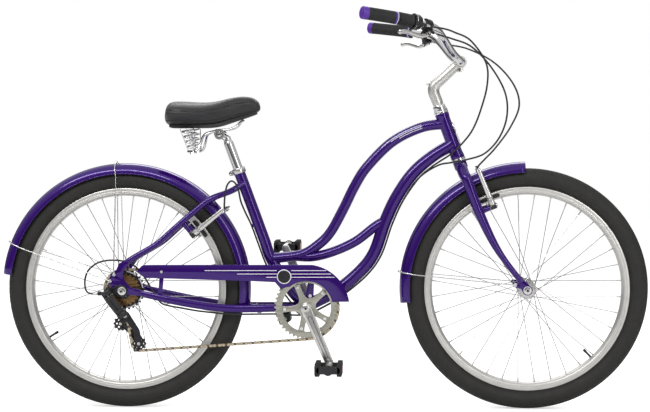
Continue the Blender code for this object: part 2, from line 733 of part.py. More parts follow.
def make_frame():
    upper, down = frame_bows()
    seat_knee = [seat(SEAT_TUBE_TOP), seat(SEAT_TUBE_TOP - SEAT_TUBE_STRAIGHT)]
    seat_knee += [BB + at(-0.050, 0, 0.049), BB + at(-0.027, 0, 0.022), BB]
    top = head(HEAD_BOTTOM + HEAD_LENGTH)
    item = add("frame", rod(head(HEAD_BOTTOM), top, HEAD_TUBE_RADIUS, LARGE_ROUND), PAINT)
    join(item, sweep(eased(upper, TUBE_SAG), UPPER_TUBE_RADIUS, TUBE_ROUND))
    join(item, sweep(eased(down, TUBE_SAG), DOWN_TUBE_RADIUS, MIDDLE_ROUND))
    branch_start = smooth(down, 101)[46]
    branch_end = smooth(upper, 101)[90]
    branch = bowed(branch_start, branch_end, [(0.13, 0.006), (0.36, 0.024), (0.60, 0.028), (0.82, 0.021)])
    join(item, sweep(eased(branch, TUBE_SAG), BRANCH_TUBE_RADIUS, TUBE_ROUND))
    straight = [seat_knee[0] + t * (seat_knee[1] - seat_knee[0]) for t in (0, 0.97)]
    bend = smooth([seat_knee[1] + 0.03 * SEAT_UP] + seat_knee[1:], 6)[1:]
    join(item, sweep(straight + list(bend), SEAT_TUBE_RADIUS, MIDDLE_ROUND))
    half_shell = BB_SHELL_LENGTH / 2
    join(item, rod(BB - half_shell * SIDEWAYS, BB + half_shell * SIDEWAYS, BB_SHELL_RADIUS, LARGE_ROUND))
    plate_in = REAR_OLD / 2
    plate_out = plate_in + DROPOUT_PLATE
    for side in SIDES.values():
        stay = [(0.038, -0.004, 0.0655), (0.126, -0.025, 0.0620), (0.215, -0.042, 0.0530),
            (0.300, -0.052, 0.0430)]
        run = [from_axle(REAR_AXLE, x, z, side * y) for x, z, y in stay]
        run += [BB + at(-0.092, side * 0.0335, -0.004), BB + at(-0.012, side * 0.0265, -0.002)]
        chainstay = smooth(with_radius(run, (0.0075, 0.0105, 0.011, 0.011, 0.0105, 0.010)), 7)
        share = CHAINSTAY_HALF_WIDTH / CHAINSTAY_HALF_HEIGHT
        join(item, sweep(chainstay, chainstay[:, 3] / 0.011 * CHAINSTAY_HALF_HEIGHT, TUBE_ROUND, share))
        stay = [(0.004, 0.074, 0.0638), (0.030, 0.0905, 0.0636), (0.068, 0.112, 0.0615),
            (0.101, 0.133, 0.0585)]
        stay += [(0.150, 0.176, 0.0530), (0.204, 0.222, 0.0480), (0.247, 0.254, 0.0445)]
        run = [from_axle(REAR_AXLE, x, z, side * y) for x, z, y in stay]
        run += [seat(0.360) + at(-0.036, side * 0.030, -0.016), seat(0.360) + at(0.0, side * 0.011, 0.006)]
        join(item, sweep(smooth(run, 9), SEATSTAY_RADIUS, SMALL_ROUND))
        outline = [(-0.036, 0.018), (-0.038, 0.030), (-0.028, 0.050), (-0.016, 0.058), (-0.008, 0.076)]
        outline += [(0.006, 0.084), (0.016, 0.083), (0.018, 0.072), (0.003, 0.052), (0.008, 0.026)]
        outline += [(0.024, 0.010), (0.052, 0.002), (0.046, -0.014), (0.0, -0.018), (-0.018, -0.010)]
        low, high = sorted((side * plate_in, side * plate_out))
        join(item, plate(outline, low, high, REAR_AXLE))
    for place, half_width in ((SEATSTAY_BRIDGE, 0.044), (CHAINSTAY_BRIDGE, 0.036)):
        bridge = from_axle(REAR_AXLE, *place)
        join(item, rod(bridge - half_width * SIDEWAYS, bridge + half_width * SIDEWAYS, 0.006, SMALL_ROUND))
        fender_seat(item, REAR_AXLE, bridge, 0.005)
    brake_stud(item, REAR_AXLE, REAR_BRAKE_ANGLE, 0.048)
    web = [(-0.078, -0.008), (-0.050, -0.009), (-0.050, -0.022), (-0.078, -0.022)]
    join(item, plate(web, 0.0012 - STAND_HALF_WIDTH, STAND_HALF_WIDTH - 0.0012, BB))
    stand = [(-0.080, -0.0165), (-0.049, -0.0165), (-0.046, -0.040), (-0.060, -0.050), (-0.078, -0.048)]
    stand += [(-0.084, -0.030)]
    join(item, plate(stand, -STAND_HALF_WIDTH, STAND_HALF_WIDTH, BB))
    guard_tab(item)
    cable_stops(item)
    front = (HEAD_TUBE_RADIUS + 0.001) * STEER_FORWARD
    middle = head(HEAD_BOTTOM + HEAD_LENGTH / 2)
    join(item, block(middle + front - 0.002 * STEER_FORWARD, (0.070, 0.026, 0.006), STEER_UP,
        STEER_FORWARD))
    cut(item, rod(head(HEAD_BOTTOM - 0.01), head(HEAD_BOTTOM + HEAD_LENGTH + 0.01), HEAD_TUBE_BORE,
        LARGE_ROUND))
    cut(item, rod(seat(SEAT_TUBE_TOP - SEAT_TUBE_BORE_DEPTH), seat(SEAT_TUBE_TOP + 0.01),
        clear_bore(SEATPOST_RADIUS)))
    cut(item, rod(BB - 0.04 * SIDEWAYS, BB + 0.04 * SIDEWAYS, BB_BORE, LARGE_ROUND))
    slot = strap((0, 0), (0.03, -0.055), AXLE_RADIUS + 3 * GAP, AXLE_RADIUS + 3 * GAP)
    cut(item, plate(slot, -0.09, 0.09, REAR_AXLE))
    return item


def guard_tab(item):
    """The tab behind the chainring that holds the chainguard's front end over the chain."""
    inside = -BB_SHELL_LENGTH / 2 - 0.0020
    climb = strap((0.006, 0.012), (0.016, 0.104), 0.012, 0.007)
    join(item, plate(climb, inside, -BB_SHELL_LENGTH / 2 + 0.004, BB))
    foot = BB + at(0.016, 0, 0.106)
    reach = abs(GUARD_Y) - 0.0018 - GAP
    join(item, block(foot + at(0, (inside - reach) / 2 + 0.001, 0), (0.016, reach + inside + 0.002, 0.006)))
    strut = from_axle(REAR_AXLE, 0.104, -0.016, -reach)
    lift = from_axle(REAR_AXLE, 0.110, 0.050, -reach)
    join(item, block((strut + lift) / 2 + at(0, 0.0015, 0), (0.012, 0.003, 0.070), (1, 0, -0.09)))


def cable_stops(item):
    """Small guides that carry the brake and shift cables along the frame."""
    join(item, block(from_axle(REAR_AXLE, 0.130, -0.0345, -0.0600), (0.012, 0.007, 0.006)))
    join(item, block(from_axle(REAR_AXLE, 0.380, -0.0620, -0.0385), (0.012, 0.008, 0.005)))
    join(item, block(seat(0.245) - 0.0157 * STEER_FORWARD, (0.010, 0.008, 0.002), SEAT_UP, STEER_FORWARD))


def crown_foot():
    return head(HEAD_BOTTOM - CROWN_BELOW_HEAD - 0.020)


def make_fork():
    crown = HEAD_BOTTOM - CROWN_BELOW_HEAD
    item = add("fork", rod(head(crown - 0.012),
        head(HEAD_BOTTOM + HEAD_LENGTH + STACK_HEIGHT - 0.003), STEERER_RADIUS, MIDDLE_ROUND), PAINT)
    join(item, rod(head(crown - 0.022), head(crown - GAP), HEAD_TUBE_RADIUS, MIDDLE_ROUND))
    blade = [(-0.165, 0.303, 0.0540), (-0.134, 0.219, 0.0545), (-0.095, 0.135, 0.0545),
        (-0.059, 0.078, 0.0550)]
    blade += [(-0.016, 0.022, 0.0560)]
    radii = (0.0140, 0.0150, 0.0150, 0.0150, 0.0135, 0.0110, 0.0085, 0.0075)
    for side in SIDES.values():
        run = [head(crown - 0.012), head(crown - 0.020) + side * 0.020 * SIDEWAYS]
        run += [head(crown - 0.040) + side * 0.044 * SIDEWAYS]
        run += [from_axle(FRONT_AXLE, x, z, side * y) for x, z, y in blade]
        smoothed = smooth(with_radius(run, radii), 12)
        join(item, sweep(smoothed, smoothed[:, 3], TUBE_ROUND))
        outline = strap((0, 0), (-0.020, 0.028), 0.014, 0.008)
        low, high = sorted((side * FRONT_OLD / 2, side * (FRONT_OLD / 2 + DROPOUT_PLATE)))
        join(item, plate(outline, low, high, FRONT_AXLE))
        eye = strap((-0.012, 0.010), (-0.034, 0.015), 0.007, 0.006)
        join(item, plate(eye, low, high, FRONT_AXLE))
    fender_seat(item, FRONT_AXLE, crown_foot(), 0.0055)
    brake_stud(item, FRONT_AXLE, FRONT_BRAKE_ANGLE, 0.036)
    cut(item, rod(head(HEAD_BOTTOM + 0.035), head(HEAD_BOTTOM + HEAD_LENGTH + 0.05),
        clear_bore(QUILL_RADIUS)))
    slot = strap((0, 0), (0.012, -0.035), AXLE_RADIUS + 3 * GAP, AXLE_RADIUS + 3 * GAP)
    cut(item, plate(slot, -0.07, 0.07, FRONT_AXLE))
    return item


def make_headset():
    bore = clear_bore(STEERER_RADIUS)
    sleeve = HEAD_TUBE_BORE * math.cos(math.pi / LARGE_ROUND) - GAP
    low = head(HEAD_BOTTOM)
    high = head(HEAD_BOTTOM + HEAD_LENGTH)
    lower = [(bore, -CROWN_BELOW_HEAD), (HEAD_TUBE_RADIUS + 0.001, -CROWN_BELOW_HEAD),
        (HEAD_TUBE_RADIUS + 0.002, -GAP)]
    lower += [(sleeve, -GAP), (sleeve, 0.010), (bore, 0.010)]
    upper = [(bore, -0.010), (sleeve, -0.010), (sleeve, GAP), (HEAD_TUBE_RADIUS + 0.002, GAP),
        (0.019, 0.011), (bore, 0.011)]
    lock = [(bore, 0.011 + GAP), (0.018, 0.011 + GAP), (0.0165, 0.0235), (bore, 0.0235)]
    cups = [add("headset_lower", turned(low, lower, MIDDLE_ROUND, STEER_UP), SILVER, low)]
    cups.append(add("headset_upper", turned(high, upper, MIDDLE_ROUND, STEER_UP), SILVER, high))
    cups.append(add("headset_locknut", turned(high, lock, MIDDLE_ROUND, STEER_UP), SILVER, high))
    return cups


def bar_route(side):
    """The handlebar's centreline on one side, from the clamp to the bar's end."""
    clamp = stem_clamp()
    route = [(0.0, 0.0, 0.045), (-0.022, 0.020, 0.088), (-0.049, 0.058, 0.146), (-0.066, 0.077, 0.195)]
    route += [(-0.086, 0.086, 0.230), (-0.118, 0.094, 0.256), (-0.166, 0.103, 0.284)]
    route += [(-0.257, 0.116, BAR_HALF_WIDTH)]
    return [clamp + at(x, side * y, z) for x, z, y in route]


def stem_clamp():
    return head(HEAD_BOTTOM + HEAD_LENGTH + 0.0755) + at(0.077, 0, 0.071)


def make_stem():
    stack_top = HEAD_BOTTOM + HEAD_LENGTH + STACK_HEIGHT
    elbow = head(HEAD_BOTTOM + HEAD_LENGTH + 0.0755)
    clamp = stem_clamp()
    arm = unit(clamp - elbow)
    run = [head(HEAD_BOTTOM + 0.060), head(stack_top - 0.004), head(stack_top + 0.006)]
    radii = [QUILL_RADIUS, QUILL_RADIUS, QUILL_RADIUS + 0.0022]
    bend = smooth([head(stack_top + 0.012), elbow - 0.012 * STEER_UP, elbow + 0.010 * arm,
        elbow + 0.028 * arm], 6)
    run += list(bend) + [clamp - 0.008 * arm]
    radii += [0.0145] * len(bend) + [0.0130]
    item = add("stem", sweep(run, radii, 10), SILVER)
    join(item, rod(clamp - 0.023 * SIDEWAYS, clamp + 0.023 * SIDEWAYS, BAR_CENTRE_RADIUS + 0.0045,
        MIDDLE_ROUND))
    below = clamp + at(-0.002, 0, -0.0205)
    join(item, block(below, (0.016, 0.020, 0.014)))
    cut(item, rod(clamp - 0.03 * SIDEWAYS, clamp + 0.03 * SIDEWAYS, clear_bore(BAR_CENTRE_RADIUS)))
    return item


def make_handlebar():
    left = list(smooth(bar_route(1), BAR_STATIONS))
    right = [point * np.array((1, -1, 1)) for point in left]
    path = list(reversed(right)) + left
    radii = [BAR_CENTRE_RADIUS if abs(point[1]) < 0.052 else BAR_RADIUS for point in path]
    return add("handlebar", sweep(path, radii, TUBE_ROUND, seed=at(0, 0, 1)), SILVER)


def bar_frame(side, from_end):
    """A place on the bar, measured back from its end, and the bar's direction there."""
    route = smooth(bar_route(side), BAR_STATIONS)
    steps = np.concatenate(([0.0], np.cumsum(np.linalg.norm(np.diff(route, axis=0), axis=1))))
    wanted = steps[-1] - from_end
    place = np.array([np.interp(wanted, steps, column) for column in route.T])
    before = np.array([np.interp(wanted - 0.004, steps, column) for column in route.T])
    return place, unit(place - before)


def sleeve_along(side, low, high, radius, name, look, steps=4):
    """A sleeve on the bar between two distances from its end."""
    path = [bar_frame(side, distance)[0] for distance in np.linspace(high, low, steps)]
    item = add(name, sweep(path, radius, TUBE_ROUND, seed=at(0, 0, 1)), look, path[len(path) // 2])
    before = bar_frame(side, high + 0.004)[0]
    after = path[-1] + 0.01 * unit(path[-1] - path[-2])
    cut(item, sweep([before] + path[1:-1] + [after], SLEEVE_BORE, TUBE_ROUND, seed=at(0, 0, 1)))
    return item


def make_grips():
    for word, side in SIDES.items():
        length = GRIP_LENGTH + (TWIST_LENGTH if side > 0 else 0)
        place, along = bar_frame(side, 0.0)
        path = [bar_frame(side, distance)[0] for distance in np.linspace(length, GRIP_END, 5)]
        path.append(place + 0.005 * along)
        radii = [GRIP_RADIUS] * 5 + [GRIP_RADIUS - 0.002]
        grip = add("grip_" + word, sweep(path, radii, TUBE_ROUND, seed=at(0, 0, 1)), RUBBER, place)
        inner = [bar_frame(side, distance)[0] for distance in np.linspace(length + 0.01, 0.0, 6)]
        inner.append(place + GAP * along)
        cut(grip, sweep(inner, SLEEVE_BORE, TUBE_ROUND, seed=at(0, 0, 1)))


def twist_place():
    """The turning sleeve's middle and its straight axis, between two distances from the bar's end."""
    low = GRIP_LENGTH + TWIST_CLEARANCE
    inner, outer = (bar_frame(-1, distance)[0] for distance in (low + TWIST_LENGTH, low))
    return (inner + outer) / 2, unit(outer - inner)


def make_shifter():
    """The turning sleeve beside the right grip and the housing it winds the cable in."""
    middle, axis = twist_place()
    half = TWIST_LENGTH / 2
    bore = clear_bore(BAR_RADIUS + TWIST_PLAY, LARGE_ROUND)
    sleeve = [(bore, -half), (TWIST_RADIUS, -half), (TWIST_RADIUS, half), (bore, half)]
    add("twist_shifter", turned(middle, sleeve, LARGE_ROUND, axis), RUBBER, middle)
    low = GRIP_LENGTH + TWIST_LENGTH + 2 * TWIST_CLEARANCE
    housing = sleeve_along(-1, low, low + HOUSING_LENGTH, HOUSING_RADIUS, "shifter_housing", DARK, 3)
    place, along = bar_frame(-1, low + HOUSING_LENGTH / 2)
    ahead = unit(at(1, 0, -0.3) - np.dot(at(1, 0, -0.3), along) * along)
    stop = place + (HOUSING_RADIUS - 0.0015) * ahead
    join(housing, rod(stop, stop - 0.020 * along, 0.0042, SMALL_ROUND))


def lever_place(side):
    """The bracket's middle on the bar, the bar's direction, the way down to the lever, its hinge and hinge axis."""
    place, along = bar_frame(side, BRACKET_FROM_END + BRACKET_LENGTH / 2)
    lean = at(0.45, 0, -1)
    down = unit(lean - np.dot(lean, along) * along)
    hinge = place + 0.028 * down + 0.004 * along
    return place, along, down, hinge, unit(np.cross(along, down))


def make_levers():
    """A bracket on the bar with its cable adjuster, and the lever on the bracket's pin."""
    low = BRACKET_FROM_END
    for word, side in SIDES.items():
        bracket = sleeve_along(side, low, low + BRACKET_LENGTH, 0.0165, "lever_bracket_" + word, DARK, 3)
        place, along, down, hinge, outer = lever_place(side)
        stop = place + 0.0165 * down
        join(bracket, block(stop, (0.016, 0.0218, 0.008), along, down))
        join(bracket, rod(hinge - 0.011 * outer, hinge + 0.011 * outer, LEVER_PIN_RADIUS, SMALL_ROUND))
        join(bracket, rod(stop, stop - 0.024 * along, 0.0036, SMALL_ROUND))
        for way in (1, -1):
            ear = hinge + way * 0.0098 * outer - 0.002 * down
            join(bracket, block(ear, (0.012, 0.0022, 0.018), along, down))
        blade = [hinge - 0.002 * along, hinge + 0.030 * along + 0.013 * down]
        blade += [hinge + 0.075 * along + 0.012 * down, hinge + 0.100 * along + 0.019 * down]
        run = smooth(with_radius(blade, (0.0045, 0.0055, 0.0055, 0.0050)), 7)
        lever = add("brake_lever_" + word, sweep(run, run[:, 3], SMALL_ROUND, 1.3, outer), SILVER, hinge)
        join(lever, rod(hinge - 0.0078 * outer, hinge + 0.0078 * outer, 0.0052, 10))
        eye = clear_bore(LEVER_PIN_RADIUS, SMALL_ROUND)
        cut(lever, rod(hinge - 0.012 * outer, hinge + 0.012 * outer, eye, SMALL_ROUND))


def tangent_points(c1, r1, c2, r2):
    """Where a straight run of chain leaves one circle and meets the next; a negative radius turns clockwise."""
    between = c2 - c1
    distance = np.linalg.norm(between)
    heading = math.atan2(between[1], between[0]) - math.asin((r2 - r1) / distance)
    left = np.array((-math.sin(heading), math.cos(heading)))
    return c1 - r1 * left, c2 - r2 * left


def chain_route():
    """The pitch line round ring, cog and pulleys, as (x, y, z) points with no point repeated."""
    flat = np.array((0, 2))
    guide = from_axle(REAR_AXLE, *GUIDE_PULLEY)[flat]
    tension = from_axle(REAR_AXLE, *TENSION_PULLEY)[flat]
    pulley = pitch_radius(PULLEY_TEETH)
    circles = [(BB[flat], pitch_radius(RING_TEETH), RING_Y, 13),
        (REAR_AXLE[flat], pitch_radius(COG_TEETH[0]), LARGEST_COG_Y, 11)]
    circles += [(guide, -pulley, LARGEST_COG_Y, 4), (tension, pulley, LARGEST_COG_Y, 6)]
    runs = []
    for i, (centre, radius, y, _) in enumerate(circles):
        after = circles[(i + 1) % len(circles)]
        leave, meet = tangent_points(centre, radius, after[0], after[1])
        runs.append((leave, meet))
    points = []
    for i, (centre, radius, y, count) in enumerate(circles):
        start = runs[i - 1][1] - centre
        end = runs[i][0] - centre
        first = math.atan2(start[1], start[0])
        last = math.atan2(end[1], end[0])
        if radius > 0 and last < first:
            last += 2 * math.pi
        if radius < 0 and last > first:
            last -= 2 * math.pi
        for angle in np.linspace(first, last, count):
            spot = centre + abs(radius) * np.array((math.cos(angle), math.sin(angle)))
            points.append(at(spot[0], y, spot[1]))
    return points


def make_chain():
    """One closed band: two side plates and a thin web on the pitch line, between which the teeth run."""
    path = np.array(chain_route())
    side, wall, tall, web = CHAIN_HALF_WIDTH, CHAIN_HALF_WIDTH - CHAIN_PLATE, CHAIN_HALF_HEIGHT, CHAIN_WEB
    corner = [(-side, -tall), (-wall, -tall), (-wall, -web), (wall, -web), (wall, -tall), (side, -tall)]
    section = corner + [(-y, -up) for y, up in corner]
    tangents = np.roll(path, -1, axis=0) - np.roll(path, 1, axis=0)
    verts = []
    for point, tangent in zip(path, tangents):
        flat = unit(at(tangent[0], 0, tangent[2]))
        up = np.cross(flat, SIDEWAYS)
        verts += [point + y * SIDEWAYS + rise * up for y, rise in section]
    count = len(section)
    total = len(verts)
    faces = []
    for i in range(len(path)):
        for j in range(count):
            a = i * count + j
            b = i * count + (j + 1) % count
            faces.append([a, b, (b + count) % total, (a + count) % total])
    return add("chain", (verts, faces), BRONZE, BB)


def tooth_tip(teeth):
    return pitch_radius(teeth) - CHAIN_WEB - 0.0008


def tooth_root(teeth):
    return pitch_radius(teeth) - 0.0045


def make_freewheel():
    """Seven cogs on one body: the toothed largest one drives, and the plain rims stand for the rest."""
    inner_y = LARGEST_COG_Y + 0.0035
    outer_y = -(REAR_OLD / 2 - 0.0040)
    bore = clear_bore(HUB_SHELL_RADIUS)
    half = COG_THICKNESS / 2
    profile = [(0.5 * bore, outer_y), (FREEWHEEL_BODY_RADIUS, outer_y)]
    for number in range(len(COG_TEETH) - 1, 0, -1):
        y = LARGEST_COG_Y - COG_SPACING * number
        tip = tooth_tip(COG_TEETH[number])
        profile += [(FREEWHEEL_BODY_RADIUS, y - half), (tip, y - half), (tip, y + half),
            (FREEWHEEL_BODY_RADIUS, y + half)]
    profile += [(FREEWHEEL_BODY_RADIUS, inner_y), (0.5 * bore, inner_y)]
    item = add("freewheel", turned(REAR_AXLE, profile, MIDDLE_ROUND), BRONZE, REAR_AXLE)
    largest = toothed(COG_TEETH[0], tooth_root(COG_TEETH[0]), tooth_tip(COG_TEETH[0]))
    join(item, plate(largest, LARGEST_COG_Y - half, LARGEST_COG_Y + half, REAR_AXLE))
    cut(item, rod(REAR_AXLE - 0.09 * SIDEWAYS, REAR_AXLE, bore))
    return item


def pedal_eye(side):
    return polar(BB, CRANK_LENGTH, CRANK_ANGLE + (180 if side > 0 else 0))


def make_crankset():
    half = RING_THICKNESS / 2
    ring = add("chainring", plate(toothed(RING_TEETH, tooth_root(RING_TEETH),
        tooth_tip(RING_TEETH)), RING_Y - half, RING_Y + half, BB), SILVER, BB)
    cut(ring, rod(BB - 0.06 * SIDEWAYS, BB - 0.03 * SIDEWAYS, RING_INNER_RADIUS, 24))
    angles = [113 + 72 * k for k in range(5)]
    for angle in angles:
        lobe = polar(BB, RING_BOLT_CIRCLE + 0.002, angle)
        out = polar(BB, RING_INNER_RADIUS + 0.006, angle)
        shape = strap((lobe[0], lobe[2]), (out[0], out[2]), 0.008, 0.0095)
        join(ring, plate(shape, RING_Y - half, RING_Y + half))
    for word, side in SIDES.items():
        eye_at = pedal_eye(side)
        low, high = sorted((side * CRANK_INNER_Y, side * (CRANK_INNER_Y + CRANK_THICKNESS)))
        arm = add("crank_" + word, plate(strap((BB[0], BB[2]), (eye_at[0], eye_at[2]), 0.0165,
            0.0125), low, high), SILVER, BB)
        join(arm, rod(BB + side * 0.0425 * SIDEWAYS, BB + side * (CRANK_INNER_Y + 0.002) * SIDEWAYS,
            0.0155, MIDDLE_ROUND))
        if side < 0:
            near = RING_Y - half - GAP
            spider = []
            for arm_angle in angles:
                tip = polar(at(0, 0, 0), RING_BOLT_CIRCLE, arm_angle)
                spider.append(plate(strap((0, 0), (tip[0], tip[2]), 0.015, 0.0075, 4),
                    near - 0.0065, near, BB))
            join(arm, *spider)
            for arm_angle in angles:
                tip = polar(BB, RING_BOLT_CIRCLE, arm_angle)
                join(arm, rod(tip + (near - 0.009) * SIDEWAYS, tip + (near - 0.002) * SIDEWAYS, 0.0045, 6))
        pin = (CRANK_INNER_Y + 0.004, PEDAL_INNER_Y + PEDAL_LENGTH - 0.006)
        ends = [eye_at + side * y * SIDEWAYS for y in pin]
        join(arm, rod(*ends, PEDAL_PIN_RADIUS, SMALL_ROUND))
        cut(arm, rod(BB + side * 0.03 * SIDEWAYS, BB + side * 0.0605 * SIDEWAYS,
            clear_bore(SPINDLE_RADIUS)))
        make_pedal(word, side, eye_at)
        shell = BB_SHELL_LENGTH / 2
        face = shell + 0.0020 + GAP if side < 0 else shell + GAP
        bore = clear_bore(SPINDLE_RADIUS)
        seated = BB_BORE * math.cos(math.pi / LARGE_ROUND) - GAP
        profile = [(bore, shell - 0.012), (seated, shell - 0.012), (seated, face)]
        profile += [(BB_SHELL_RADIUS + 0.0005, face), (BB_SHELL_RADIUS - 0.001, face + 0.0035),
            (bore, face + 0.0035)]
        profile = [(radius, side * along) for radius, along in profile]
        add("bb_cup_" + word, turned(BB, profile, MIDDLE_ROUND), DARK, BB)
    spindle = rod(BB - 0.060 * SIDEWAYS, BB + 0.060 * SIDEWAYS, SPINDLE_RADIUS)
    add("bb_spindle", spindle, SILVER, BB)


def make_pedal(word, side, eye):
    """A barrel on the crank's pin, two end plates and a tread block before and behind."""
    low = PEDAL_INNER_Y
    high = PEDAL_INNER_Y + PEDAL_LENGTH
    inner, outer = sorted((side * low, side * high))
    item = add("pedal_" + word, rod(eye + inner * SIDEWAYS, eye + outer * SIDEWAYS, 0.0125), DARK, eye)
    tread = PEDAL_HALF_CHORD - 0.014
    for plate_y in (low, high - 0.003):
        a, b = sorted((side * plate_y, side * (plate_y + 0.003)))
        outline = strap((-tread, 0), (tread, 0), 0.010, 0.010, 4)
        join(item, plate(outline, a, b, eye))
    for end in (-1, 1):
        centre = eye + at(end * (PEDAL_HALF_CHORD - 0.007), side * (low + high) / 2, 0)
        join(item, block(centre, (0.014, PEDAL_LENGTH, 2 * PEDAL_HALF_HEIGHT)))
    cut(item, rod(eye + side * 0.08 * SIDEWAYS, eye + side * 0.20 * SIDEWAYS, clear_bore(PEDAL_PIN_RADIUS)))
    return item


def link_frame():
    """The derailleur's fixed and moving pin places, the way from one to the other, and the pins' axis."""
    fixed = from_axle(REAR_AXLE, *LINK_FIXED)
    moved = from_axle(REAR_AXLE, *LINK_MOVED)
    along = unit(at(moved[0] - fixed[0], 0, moved[2] - fixed[2]))
    return fixed, moved, along, np.cross(SIDEWAYS, along)


def make_derailleur():
    """A hanger and fixed knuckle, two links, the moving knuckle, the cage and its pulleys."""
    fixed, moved, along, axis = link_frame()
    span = 0.0068
    lug = 0.0026
    eye = clear_bore(0.0018, SMALL_ROUND)
    for word, (fixed_y, moved_y) in LINK_PINS.items():
        a = fixed + fixed_y * SIDEWAYS
        b = moved + moved_y * SIDEWAYS
        heading = unit(b - a)
        link = add("derailleur_" + word + "_link",
            block((a + b) / 2, (np.linalg.norm(b - a) - 0.004, 0.003, 2 * span), heading, axis), DARK, a)
        join(link, rod(a - span * axis, a + span * axis, 0.0040, SMALL_ROUND),
            rod(b - span * axis, b + span * axis, 0.0040, SMALL_ROUND))
        cut(link, rod(a - 0.02 * axis, a + 0.02 * axis, eye, SMALL_ROUND),
            rod(b - 0.02 * axis, b + 0.02 * axis, eye, SMALL_ROUND))
    reach = span + GAP + lug
    knuckles = {}
    for name, centre, y_index, way in (("body", fixed, 0, -1), ("knuckle", moved, 1, 1)):
        ys = [LINK_PINS[word][y_index] for word in ("outer", "inner")]
        middle = centre + (ys[0] + ys[1]) / 2 * SIDEWAYS
        back = middle + way * 0.0110 * along
        core = block(back, (0.010, 0.026, 2 * reach), along, axis)
        item = add("derailleur_" + name, core, DARK, middle)
        for end in (-1, 1):
            place = middle + way * 0.003 * along + end * (reach - lug / 2) * axis
            join(item, block(place, (0.017, 0.024, lug), along, axis))
        for y in ys:
            join(item, rod(centre + y * SIDEWAYS - (reach - 0.0008) * axis,
                centre + y * SIDEWAYS + (reach - 0.0008) * axis, 0.0018, 6))
        knuckles[name] = item
    plate_out = -(REAR_OLD / 2 + DROPOUT_PLATE)
    claw = [(0.017, 0.0), (0.010, 0.015), (-0.006, 0.018), (-0.024, 0.010), (-0.044, 0.008),
        (-0.046, -0.006), (-0.030, -0.010)]
    claw += [(-0.012, -0.016), (0.006, -0.017)]
    join(knuckles["body"], plate(claw, plate_out - GAP - CLAW_PLATE, plate_out - GAP, REAR_AXLE))
    middle = fixed - 0.0885 * SIDEWAYS - 0.0110 * along
    adjuster = from_axle(REAR_AXLE, -0.066, -0.006, -0.0885)
    join(knuckles["body"], rod(adjuster, middle, 0.0042, SMALL_ROUND))
    cut(knuckles["body"], rod(REAR_AXLE - 0.1 * SIDEWAYS, REAR_AXLE - 0.06 * SIDEWAYS,
        clear_bore(AXLE_RADIUS)))
    hinge = from_axle(REAR_AXLE, *CAGE_HINGE)
    join(knuckles["knuckle"], rod(hinge - 0.0580 * SIDEWAYS, hinge - 0.0480 * SIDEWAYS, 0.0085,
        MIDDLE_ROUND))
    cut(knuckles["knuckle"], rod(hinge - 0.0545 * SIDEWAYS, hinge - 0.0400 * SIDEWAYS,
        clear_bore(0.0040, SMALL_ROUND), SMALL_ROUND))
    guide = from_axle(REAR_AXLE, *GUIDE_PULLEY)
    tension = from_axle(REAR_AXLE, *TENSION_PULLEY)
    outer_y = LARGEST_COG_Y - 0.0062
    inner_y = LARGEST_COG_Y + 0.0062
    outline = strap((guide[0], guide[2]), (hinge[0], hinge[2]), 0.008, 0.010)
    cage = add("derailleur_cage", plate(outline, outer_y - SHEET, outer_y), DARK, hinge)
    bend = (hinge[0] + 0.030, hinge[2] - 0.045)
    join(cage, plate(strap((hinge[0], hinge[2]), bend, 0.010, 0.009), outer_y - SHEET, outer_y))
    join(cage, plate(strap(bend, (tension[0], tension[2]), 0.009, 0.012), outer_y - SHEET, outer_y))
    join(cage, plate(strap((guide[0], guide[2]), (tension[0], tension[2]), 0.008, 0.011), inner_y,
        inner_y + SHEET))
    join(cage, rod(hinge + outer_y * SIDEWAYS, hinge - 0.0520 * SIDEWAYS, 0.0040, SMALL_ROUND))
    for spot in (guide, tension):
        join(cage, rod(spot + (outer_y - 0.001) * SIDEWAYS, spot + (inner_y + 0.001) * SIDEWAYS,
            0.0025, SMALL_ROUND))
    half = 0.0013
    for word, spot in (("guide", guide), ("tension", tension)):
        outline = toothed(PULLEY_TEETH, tooth_root(PULLEY_TEETH), tooth_tip(PULLEY_TEETH))
        pulley = add(word + "_pulley", plate(outline, LARGEST_COG_Y - half, LARGEST_COG_Y + half,
            spot), DARK, spot)
        join(pulley, rod(spot + (outer_y + GAP) * SIDEWAYS, spot + (inner_y - GAP) * SIDEWAYS,
            0.0060, TUBE_ROUND))
        cut(pulley, rod(spot - 0.05 * SIDEWAYS, spot, clear_bore(0.0025, SMALL_ROUND), SMALL_ROUND))


def make_chainguard():
    """A flat cover beside the upper run of chain, hooked over the ring, with an arched cut for the crank."""
    x0 = REAR_AXLE[0]
    top = REAR_AXLE[2] + 0.0715
    centre = (BB[0], BB[2])
    outline = [(x0 + 0.068, top - 0.037), (x0 + 0.068, top - 0.004), (x0 + 0.085, top),
        (BB[0] - 0.020, top)]
    outline += arc(centre, 0.1205, 82, 8, 10)
    outline += [(BB[0] + 0.066, BB[2] + 0.0165)]
    outline += arc(centre, 0.074, 14, 128, 11)
    outline += [(BB[0] - 0.058, BB[2] + 0.056), (BB[0] - 0.067, BB[2] + 0.053),
        (BB[0] - 0.077, BB[2] + 0.060)]
    outline += [(BB[0] - 0.086, BB[2] + 0.071), (BB[0] - 0.147, BB[2] + 0.074)]
    item = add("chainguard", plate(outline, GUARD_Y, GUARD_Y + 0.0016), PAINT)
    boss = from_axle(REAR_AXLE, 0.109, 0.052)
    join(item, rod(boss + (GUARD_Y - 0.0020) * SIDEWAYS, boss + (GUARD_Y + 0.0008) * SIDEWAYS,
        0.0045, SMALL_ROUND))
    return item


def saddle_clamp():
    return seat(SEAT_TUBE_TOP + SEATPOST_RISE)


